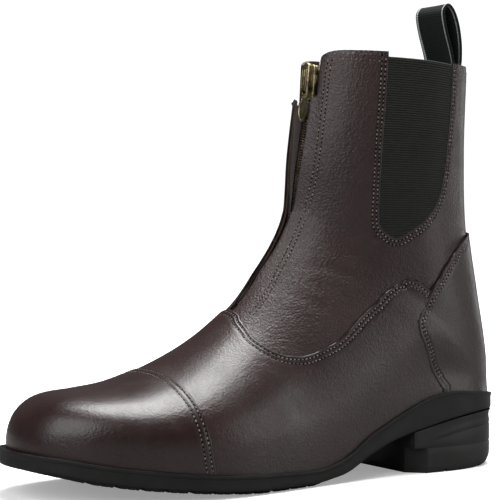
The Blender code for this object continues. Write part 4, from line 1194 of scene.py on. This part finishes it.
def make_slider():
    """Zip slider: two arched plates on a core, flanges, a fluted bail over the pin, and a top bridge."""
    front = SLIDER_FRONT
    plate = arched("plate", 0.0056, 0.0, SLIDER_HEIGHT - 0.0006, 0.0034, front, 0.0015, 0.0004)
    rear = arched("rear_plate", 0.0056, 0.0004, SLIDER_HEIGHT - 0.0030, 0.0030, front + 0.0044, 0.0015,
                  0.0004)
    core = block("core", (0.0040, 0.0058, 0.0150), (front + 0.0029, 0, 0.0090), 0.0004, 2)
    bridge_place = (front + 0.0030, 0, SLIDER_HEIGHT - 0.0034)
    bridge = block("bridge", (0.0056, 0.0086, 0.0052), bridge_place, 0.0019, 5)
    flanges = [block("flange", (0.0017, 0.0013, 0.0134), (front + 0.0010, y, 0.0072), 0.0005)
               for y in (-0.0053, 0.0053)]
    bail = arched("bail", 0.0038, 0.0009, SLIDER_HEIGHT + 0.0002, 0.0036, front - 0.0027, 0.0034, 0.0011)
    mouth = arched("mouth", 0.0026, -0.0040, 0.0052, 0.0022, front - 0.0060, 0.0058, 0.0002)
    carve(bail, [mouth])
    flutes = [block("flute", (0.0008, 0.0007, 0.0105), (front - 0.0027, y, 0.0117), 0.0003)
              for y in (-0.0021, 0.0, 0.0021)]
    lip = block("lip", (0.0010, 0.0064, 0.0011), (front - 0.0003, 0, 0.0006), 0.0004)
    bpy.ops.mesh.primitive_cylinder_add(vertices=20, radius=0.0006, depth=0.0064, location=PULL_AXIS,
                                        rotation=(math.pi / 2, 0, 0))
    pin = bpy.context.object
    parts = (plate, rear, core, bridge, bail, lip, pin, *flanges, *flutes)
    slider = join("slider_body", [in_slider(piece) for piece in parts])
    rounded(slider, 35)
    return slider


def make_pull_tab():
    """Pull tab with a raised rim, a plain sunken field and its eye round the pin."""
    outline = [(0.57, -0.02), (0.57, 0.16), (0.90, 0.24), (1.00, 0.34), (1.00, 0.56), (0.86, 0.74),
               (0.52, 0.90), (0.20, 0.98), (0.00, 1.00)]
    fine = through(outline, 41)
    curve = [(share * TAB_HALF_WIDTH, -drop * TAB_LENGTH) for share, drop in fine]
    ring = curve + [(-y, z) for y, z in reversed(curve[:-1])]
    tab = flat_face(ring, -TAB_THICKNESS / 2)
    edit(tab)
    bpy.ops.mesh.inset(thickness=0.0007, depth=0)
    bpy.ops.mesh.inset(thickness=0.0003, depth=0)
    bpy.ops.transform.translate(value=(0.00028, 0, 0))
    bpy.ops.mesh.select_all(action="SELECT")
    bpy.ops.mesh.extrude_region_move(TRANSFORM_OT_translate={"value": (TAB_THICKNESS, 0, 0)})
    leave_outwards()
    bpy.ops.mesh.primitive_torus_add(major_radius=0.00120, minor_radius=0.00030, major_segments=28,
                                     minor_segments=8, rotation=(math.pi / 2, 0, 0))
    eye = bpy.context.object
    fresh(eye)
    bpy.ops.object.transform_apply(location=False, rotation=True, scale=False)
    eye.data.transform(Matrix.Diagonal((1, 7.8, 1, 1)))
    axis = Matrix.Translation(PULL_AXIS)
    for piece in (tab, eye):
        piece.data.transform(axis)
    made = join("pull_tab_plate", [in_slider(piece) for piece in (tab, eye)])
    outwards(made)
    rounded(made, 35)
    return made


LOOP_COLUMNS = ("forward", "up", "curve")
LOOP_PATH = [
    (0.00, -0.38, 1.0),
    (0.00, 0.00, 1.0),
    (0.00, 0.15, 0.8),
    (0.08, 0.42, 0.5),
    (0.26, 0.70, 0.3),
    (0.50, 0.90, 0.2),
    (0.76, 0.99, 0.2),
    (0.96, 0.93, 0.2),
    (1.00, 0.82, 0.2),
    (0.84, 0.58, 0.3),
    (0.60, 0.34, 0.5),
    (0.38, 0.12, 0.8),
    (0.30, 0.00, 1.0),
    (0.28, -0.38, 1.0),
]


def make_loop():
    """Pull loop of folded webbing, its feet sewn inside the back of the collar."""
    path = named(through(LOOP_PATH, 170), LOOP_COLUMNS)
    collar_back = SHAFT_HEIGHT - COLLAR_DROP
    turns = np.linspace(0.62, 1, 60)
    inside = -(WALL + 2 * GAP + LOOP_TAPE / 2)
    high, low = (on_last(row, turns, inside) for row in (COLLAR_ROW, COLLAR_ROW - 0.5))
    across = np.linspace(-1, 1, 33)
    places = np.empty((170, 33, 3))
    for i in range(170):
        up = path["up"][i]
        z = up * (LOOP_HEIGHT if up > 0 else LOOP_FOOT / -LOOP_PATH[0][1])
        for j, share in enumerate(across):
            y = share * LOOP_WIDTH / 2
            near, far = (float(np.interp(abs(y), w[::-1, 1] - SIDE_SHIFT, w[::-1, 0])) for w in (high, low))
            middle, fall = float(high[-1, 0]), high[-1, 2] - low[-1, 2]
            wall = near + (far - near) * max(-z, 0) / fall
            x = middle + (wall - middle) * path["curve"][i] - path["forward"][i] * LOOP_DEPTH
            places[i, j] = (x, SIDE_SHIFT + y, collar_back + z)
    marks = np.repeat(np.abs(across)[None], 170, 0)
    loop = gridded("loop_webbing", places, marks)
    walled(loop, LOOP_TAPE * 0.92, offset=0)
    bevelled(loop, 0.0003, 2, 50)
    outwards(loop)
    rounded(loop, 50)
    return loop


class Finish:
    """Material under construction: a Principled shader and helpers for its pattern nodes."""

    def __init__(self, name, roughness, metallic=0.0, coat=0.0, specular=0.5, sheen=0.0):
        self.material = bpy.data.materials.new(name)
        self.material.use_nodes = True
        self.nodes = self.material.node_tree.nodes
        self.links = self.material.node_tree.links
        self.shader = self.nodes["Principled BSDF"]
        values = {"Roughness": roughness, "Metallic": metallic, "Coat Weight": coat, "Coat Roughness": 0.22,
                  "Specular IOR Level": specular, "Sheen Weight": sheen}
        for socket, value in values.items():
            self.shader.inputs[socket].default_value = value
        self.place = self.nodes.new("ShaderNodeTexCoord").outputs["Object"]
        self.height = None

    def attribute(self, name):
        """Number stored on a piece's vertices."""
        node = self.nodes.new("ShaderNodeAttribute")
        node.attribute_name = name
        return node.outputs["Fac"]

    def pattern(self, kind, place, **values):
        """Texture node laid on a place, with its values."""
        node = self.nodes.new(kind)
        for socket, value in values.items():
            node.inputs[socket].default_value = value
        self.links.new(place, node.inputs["Vector"])
        return node

    def noise(self, scale, detail=4, roughness=0.5):
        """Soft noise over the piece."""
        node = self.pattern("ShaderNodeTexNoise", self.place, Scale=scale, Detail=detail, Roughness=roughness)
        return node.outputs[0]

    def cells(self, scale):
        """Cell pattern over the piece."""
        return self.pattern("ShaderNodeTexVoronoi", self.place, Scale=scale).outputs["Distance"]

    def wave(self, scale, direction, distortion, place):
        """Parallel lines over the piece."""
        node = self.pattern("ShaderNodeTexWave", place, Scale=scale, Distortion=distortion)
        node.bands_direction = direction
        return node.outputs["Fac"]

    def woven_place(self):
        """The piece's own lengths, as a place to lay a weave on."""
        return self.nodes.new("ShaderNodeTexCoord").outputs["UV"]

    def spread(self, value, low, high, to_low=0.0, to_high=1.0):
        """A number carried from one range to another."""
        node = self.nodes.new("ShaderNodeMapRange")
        for socket, number in zip(("From Min", "From Max", "To Min", "To Max"), (low, high, to_low, to_high)):
            node.inputs[socket].default_value = number
        self.links.new(value, node.inputs["Value"])
        return node.outputs[0]

    def joined(self, first, second, operation="MULTIPLY"):
        """Two numbers put together."""
        node = self.nodes.new("ShaderNodeMath")
        node.operation = operation
        self.links.new(first, node.inputs[0])
        if isinstance(second, float):
            node.inputs[1].default_value = second
        else:
            self.links.new(second, node.inputs[1])
        return node.outputs[0]

    def blend(self, share, first, second):
        """Colour between two others."""
        node = self.nodes.new("ShaderNodeMix")
        node.data_type = "RGBA"
        self.links.new(share, node.inputs["Factor"])
        for socket, colour in (("A", first), ("B", second)):
            target = next(s for s in node.inputs if s.name == socket and s.type == "RGBA")
            if isinstance(colour, tuple):
                target.default_value = (*colour, 1)
            else:
                self.links.new(colour, target)
        return next(s for s in node.outputs if s.type == "RGBA")

    def colour(self, colour):
        """Sets the base colour."""
        self.links.new(colour, self.shader.inputs["Base Color"])

    def rough(self, value):
        """Sets a roughness that varies."""
        self.links.new(value, self.shader.inputs["Roughness"])

    def patchy(self, scale, detail, low, high):
        """Roughness that wanders between two values."""
        self.rough(self.spread(self.noise(scale, detail), 0.3, 0.7, low, high))

    def bump(self, value, depth, strength=1.0):
        """Adds a relief of a depth in metres on top of what is there."""
        node = self.nodes.new("ShaderNodeBump")
        node.inputs["Distance"].default_value = depth
        node.inputs["Strength"].default_value = strength
        self.links.new(value, node.inputs["Height"])
        if self.height is not None:
            self.links.new(self.height, node.inputs["Normal"])
        self.height = node.outputs[0]
        self.links.new(self.height, self.shader.inputs["Normal"])


# Near-black of the painted shade along leather seams and folded edges
SEAM_SHADE = (0.0030, 0.0015, 0.0014)


def leather(name, dark, light, roughness, grain):
    """Smooth calf leather: cloudy colour, pebbled grain, faint wrinkles, painted shade along seams and folded
    edges.
    """
    finish = Finish(name, roughness, coat=0.15, specular=0.5)
    clouds = finish.spread(finish.noise(26, 5, 0.6), 0.32, 0.68)
    body = finish.blend(clouds, dark, light)
    pebbles = finish.spread(finish.noise(620, 4, 0.6), 0.36, 0.64)
    body = finish.blend(finish.joined(pebbles, 0.45), body, tuple(c * 0.55 for c in dark))
    # Painted shade: the colour darkens towards near-black where the seam attribute marks folded edges and
    # stitch grooves
    seam = finish.joined(finish.attribute("seam"), finish.spread(finish.noise(140, 3), 0.3, 0.6, 0.6, 1.0))
    finish.colour(finish.blend(finish.joined(seam, 0.9), body, SEAM_SHADE))
    worn = finish.noise(60, 5, 0.65)
    mottled = finish.joined(finish.spread(worn, 0.3, 0.7, -0.07, 0.08),
                            finish.spread(pebbles, 0, 1, 0, 0.06), "ADD")
    finish.rough(finish.joined(mottled, roughness, "ADD"))
    finish.bump(finish.noise(70, 4, 0.55), 0.00070 * grain, 0.45)
    finish.bump(finish.noise(480, 5, 0.65), 0.00042 * grain, 0.9)
    finish.bump(finish.cells(850), 0.00020 * grain, 0.8)
    return finish.material


def rubber(name, colour, roughness):
    """Matte black rubber with a dusty, slightly scuffed surface."""
    finish = Finish(name, roughness, specular=0.35)
    dust = finish.spread(finish.noise(45, 6, 0.65), 0.42, 0.72)
    finish.colour(finish.blend(dust, colour, tuple(c * 1.9 + 0.006 for c in colour)))
    finish.patchy(90, 4, roughness - 0.10, roughness + 0.08)
    finish.bump(finish.noise(900, 3, 0.6), 0.00008, 0.6)
    finish.bump(finish.noise(160, 4), 0.0002, 0.25)
    return finish.material


def elastic(name):
    """Black elastic webbing: fine warp threads crossing the ribs of the weave, with painted shade darkening
    the troughs between the ribs.
    """
    finish = Finish(name, 0.78, specular=0.22, sheen=0.05)
    fine = finish.wave(1 / 0.0030, "Y", 0.8, finish.woven_place())
    shade = finish.spread(finish.noise(420, 3), 0.3, 0.7, 0.35, 1.0)
    # Painted shade: rib crests lighter and troughs darker, following the rib height that the gore keeps in
    # its seam attribute
    rib = finish.joined(finish.spread(finish.attribute("seam"), 0.35, 1.0),
                        finish.spread(shade, 0, 1, 0.5, 1.0))
    rib = finish.joined(rib, finish.spread(fine, 0, 1, 0.75, 1.0))
    finish.colour(finish.blend(rib, (0.0025, 0.0025, 0.0024), (0.036, 0.0360, 0.0335)))
    finish.bump(fine, 0.00006, 0.5)
    finish.bump(finish.noise(1400, 2), 0.00005, 0.6)
    return finish.material


def webbing(name):
    """Black-green webbing with a pale woven line along each edge."""
    finish = Finish(name, 0.80, specular=0.2, sheen=0.05)
    place = finish.woven_place()
    ribs = finish.wave(1 / 0.0040, "X", 0.4, place)
    cross = finish.wave(1 / 0.0052, "Y", 0.4, place)
    weave = finish.joined(ribs, cross)
    body = finish.blend(finish.spread(weave, 0.1, 0.8), (0.0050, 0.0066, 0.0066), (0.020, 0.026, 0.025))
    share = finish.attribute("seam")
    line = finish.joined(finish.spread(share, 0.84, 0.87), finish.spread(share, 0.93, 0.96, 1.0, 0.0))
    pale = finish.joined(line, finish.spread(ribs, 0.1, 0.5, 0.55, 1.0))
    finish.colour(finish.blend(pale, body, (0.46, 0.50, 0.49)))
    finish.bump(weave, 0.00018, 0.8)
    return finish.material


def lining(name, colour):
    """Soft lining leather with fine pores."""
    finish = Finish(name, 0.62, specular=0.35, sheen=0.1)
    clouds = finish.spread(finish.noise(40, 5), 0.3, 0.7)
    finish.colour(finish.blend(clouds, colour, tuple(c * 1.5 for c in colour)))
    finish.patchy(70, 3, 0.55, 0.72)
    finish.bump(finish.cells(1300), 0.00006, 0.5)
    finish.bump(finish.noise(180, 4), 0.00018, 0.4)
    return finish.material


def thread(name, dark, light, specular=0.4, sheen=0.2):
    """Twisted thread whose colour is mottled with flecks of painted highlight."""
    finish = Finish(name, 0.5, specular=specular, sheen=sheen)
    highlight_flecks = finish.spread(finish.noise(420, 2), 0.38, 0.62)
    finish.colour(finish.blend(highlight_flecks, dark, light))
    finish.patchy(200, 2, 0.42, 0.6)
    finish.bump(finish.noise(2600, 2), 0.00006, 0.7)
    return finish.material


def antique_brass(name, dark, light, roughness=0.34):
    """Brass mottled between a brown patina and brighter metal."""
    finish = Finish(name, roughness, metallic=1.0, specular=0.5)
    patina = finish.spread(finish.noise(230, 5, 0.55), 0.30, 0.62)
    finish.colour(finish.blend(patina, dark, light))
    finish.patchy(700, 4, roughness - 0.08, roughness + 0.16)
    finish.bump(finish.noise(900, 4, 0.6), 0.00003, 0.5)
    return finish.material


def zip_tape_cloth(name):
    """Dark woven zip tape."""
    finish = Finish(name, 0.85, specular=0.15, sheen=0.0)
    place = finish.woven_place()
    weave = finish.joined(finish.wave(1 / 0.0036, "X", 0.3, place), finish.wave(1 / 0.0036, "Y", 0.3, place))
    weave_share = finish.spread(weave, 0.1, 0.8)
    finish.colour(finish.blend(weave_share, (0.0018, 0.0014, 0.0014), (0.0070, 0.0054, 0.0050)))
    finish.bump(weave, 0.00014, 0.8)
    return finish.material


CALF = leather("burgundy_calf", (0.0200, 0.0087, 0.0083), (0.0350, 0.0154, 0.0142), 0.35, 0.6)
CAP_CALF = leather("cap_calf", (0.0180, 0.0077, 0.0074), (0.0320, 0.0139, 0.0127), 0.31, 0.42)
SHAFT_CALF = leather("shaft_calf", (0.0230, 0.0098, 0.0094), (0.0400, 0.0175, 0.0162), 0.38, 1.3)
SOLE_RUBBER = rubber("sole_rubber", (0.0036, 0.0035, 0.0032), 0.60)
HEEL_RUBBER = rubber("heel_rubber", (0.0078, 0.0078, 0.0074), 0.58)
GORE_ELASTIC = elastic("gore_elastic")
LOOP_WEBBING = webbing("loop_webbing")
LINING_LEATHER = lining("lining_leather", (0.055, 0.036, 0.026))
INSOLE_CLOTH = lining("insole_cover", (0.090, 0.060, 0.040))
# The seam thread's light colour is its painted highlight flecks
THREAD = thread("seam_thread", (0.060, 0.036, 0.033), (0.32, 0.25, 0.235))
# Near-black painted shade for the stitch holes between the stitches
PINHOLE_SHADE = thread("pinhole_shade", (0.0010, 0.0006, 0.0006), (0.0030, 0.0018, 0.0017), 0.05, 0.0)
BRASS = antique_brass("antique_brass", (0.075, 0.060, 0.034), (0.42, 0.36, 0.22))
TEETH_BRASS = antique_brass("teeth_brass", (0.040, 0.030, 0.022), (0.13, 0.10, 0.07), 0.42)
TAPE_CLOTH = zip_tape_cloth("zip_tape_cloth")

finished(make_toe_cap(), "boot", "leather", CAP_CALF, "toe_cap")
finished(make_vamp(), "boot", "leather", CALF, "vamp")
finished(make_counter(), "boot", "leather", CALF, "counter")
finished(join("quarters", make_quarters()), "boot", "leather", SHAFT_CALF, "upper")
finished(make_back_strip(), "boot", "leather", SHAFT_CALF)
finished(make_lining(), "boot", "lining", LINING_LEATHER)
for gore_name, gore_side in (("gore_lateral", -1), ("gore_medial", 1)):
    finished(make_gore(gore_name, gore_side), "boot", "elastic", GORE_ELASTIC, gore_name)
for seam_name, seam_rows in stitch_rows().items():
    stitch, shade_dot = bead(STITCH_SIZE, 5), bead(PINHOLE_SHADE_SIZE, 3)
    finished(sewn(f"{seam_name}_stitches", seam_rows, stitch, 0.5), "boot", "leather", THREAD)
    finished(sewn(f"{seam_name}_pinhole_shades", seam_rows, shade_dot, 1.0), "boot", "leather", PINHOLE_SHADE)
finished(make_outsole(), "boot", "rubber", SOLE_RUBBER, "outsole")
finished(shape_heel(make_heel()), "boot", "rubber", HEEL_RUBBER, "heel")
finished(make_insole(), "boot", "lining", INSOLE_CLOTH, "insole")
finished(make_zip_tape(), "boot", "elastic", TAPE_CLOTH, "zip_tape")
finished(make_zip_teeth(), "boot", "brass", TEETH_BRASS, "zip_teeth")
finished(make_slider(), "boot", "brass", BRASS, "zip_slider")
finished(make_pull_tab(), "pull_tab", "brass", BRASS, "zip_pull")
finished(make_loop(), "boot", "webbing", LOOP_WEBBING, "pull_loop")

# Camera at the photograph's place
AIM = Vector((-0.0084, SIDE_SHIFT, 0.1240))
VIEW_TURN, VIEW_RISE, VIEW_ROLL = (math.radians(degrees) for degrees in (-31.058, 0.942, 0.109))
VIEW_REACH = 0.9273
back = Vector((math.sin(VIEW_TURN) * math.cos(VIEW_RISE), -math.cos(VIEW_TURN) * math.cos(VIEW_RISE),
               math.sin(VIEW_RISE)))
right = Vector((-back.y, back.x, 0)).normalized()
above = back.cross(right)
turned_right = right * math.cos(VIEW_ROLL) + above * math.sin(VIEW_ROLL)
turned_above = above * math.cos(VIEW_ROLL) - right * math.sin(VIEW_ROLL)
bpy.ops.object.camera_add()
camera = bpy.context.object
camera.name = "photo_camera"
camera.data.lens = 122.96
camera.data.sensor_width = 36
camera.data.sensor_fit = "AUTO"
camera.data.clip_start = 0.01
camera.data.dof.use_dof = False
camera.matrix_world = Matrix.Translation(AIM + back * VIEW_REACH) @ Matrix(
    (turned_right, turned_above, back)).transposed().to_4x4()
bpy.context.scene.camera = camera

# Pale floor, white for the camera and grey to other rays, giving off painted light for the camera that lifts
# the boot's shadow; white surroundings and soft studio lamps
bpy.ops.mesh.primitive_plane_add(size=40, location=(0, 0, 0))
floor = bpy.context.object
floor.name = "floor"
paper = Finish("pale_floor", 0.9, specular=0.05)
seen_floor = paper.nodes.new("ShaderNodeLightPath").outputs["Is Camera Ray"]
white = paper.blend(paper.noise(3, 2), (0.88, 0.88, 0.88), (0.90, 0.90, 0.90))
paper.colour(paper.blend(seen_floor, (0.30, 0.30, 0.30), white))
# Painted light: seen by the camera, the floor glows from 0.30 beside the boot to 1.5 far off, lightening the
# boot's shadow on it
spot = paper.nodes.new("ShaderNodeVectorMath")
spot.operation = "LENGTH"
paper.links.new(paper.place, spot.inputs[0])
painted_floor_glow = paper.joined(paper.spread(spot.outputs["Value"], 0.10, 1.2, 0.30, 1.5), seen_floor)
paper.shader.inputs["Emission Color"].default_value = (1, 1, 1, 1)
paper.links.new(painted_floor_glow, paper.shader.inputs["Emission Strength"])
floor.data.materials.append(paper.material)

bpy.context.scene.view_settings.view_transform = "Standard"
world = bpy.data.worlds.new("studio")
bpy.context.scene.world = world
world.use_nodes = True
sky = world.node_tree.nodes
room = sky["Background"]
room.inputs["Color"].default_value = (1, 1, 1, 1)
way = sky.new("ShaderNodeTexCoord")
facing = sky.new("ShaderNodeVectorMath")
facing.operation = "DOT_PRODUCT"
facing.inputs[1].default_value = (0.58, 0.79, 0.20)
walls = sky.new("ShaderNodeMapRange")
walls.interpolation_type = "SMOOTHSTEP"
for socket, number in (("From Min", -1.0), ("From Max", 1.0), ("To Min", 0.04), ("To Max", 0.08)):
    walls.inputs[socket].default_value = number
paper_white = sky.new("ShaderNodeBackground")
paper_white.inputs["Strength"].default_value = 1.4
seen = sky.new("ShaderNodeLightPath")
both = sky.new("ShaderNodeMixShader")
for start, end in ((way.outputs["Generated"], facing.inputs[0]),
                   (facing.outputs["Value"], walls.inputs["Value"]),
                   (walls.outputs[0], room.inputs["Strength"]),
                   (seen.outputs["Is Camera Ray"], both.inputs["Fac"]),
                   (room.outputs[0], both.inputs[1]), (paper_white.outputs[0], both.inputs[2]),
                   (both.outputs[0], sky["World Output"].inputs["Surface"])):
    world.node_tree.links.new(start, end)


def lamp(name, place, aim, size, power):
    """Soft rectangular studio lamp."""
    bpy.ops.object.light_add(type="AREA", location=place)
    light = bpy.context.object
    light.name = name
    light.data.shape = "RECTANGLE"
    light.data.size, light.data.size_y = size
    light.data.energy = power
    light.rotation_euler = (Vector(aim) - Vector(place)).to_track_quat("-Z", "Y").to_euler()


lamp("overhead", (0.20, 0.08, 1.30), (-0.06, 0, 0.05), (0.90, 0.75), 27)
lamp("left", (-1.05, -0.50, 0.85), (0.0, 0, 0.12), (1.20, 1.10), 13)
lamp("right", (1.25, 0.30, 0.22), (0.11, 0, 0.15), (0.30, 0.50), 1.0)
lamp("right_front", (1.05, -0.80, 0.34), (0.05, 0, 0.14), (0.60, 0.70), 3.2)
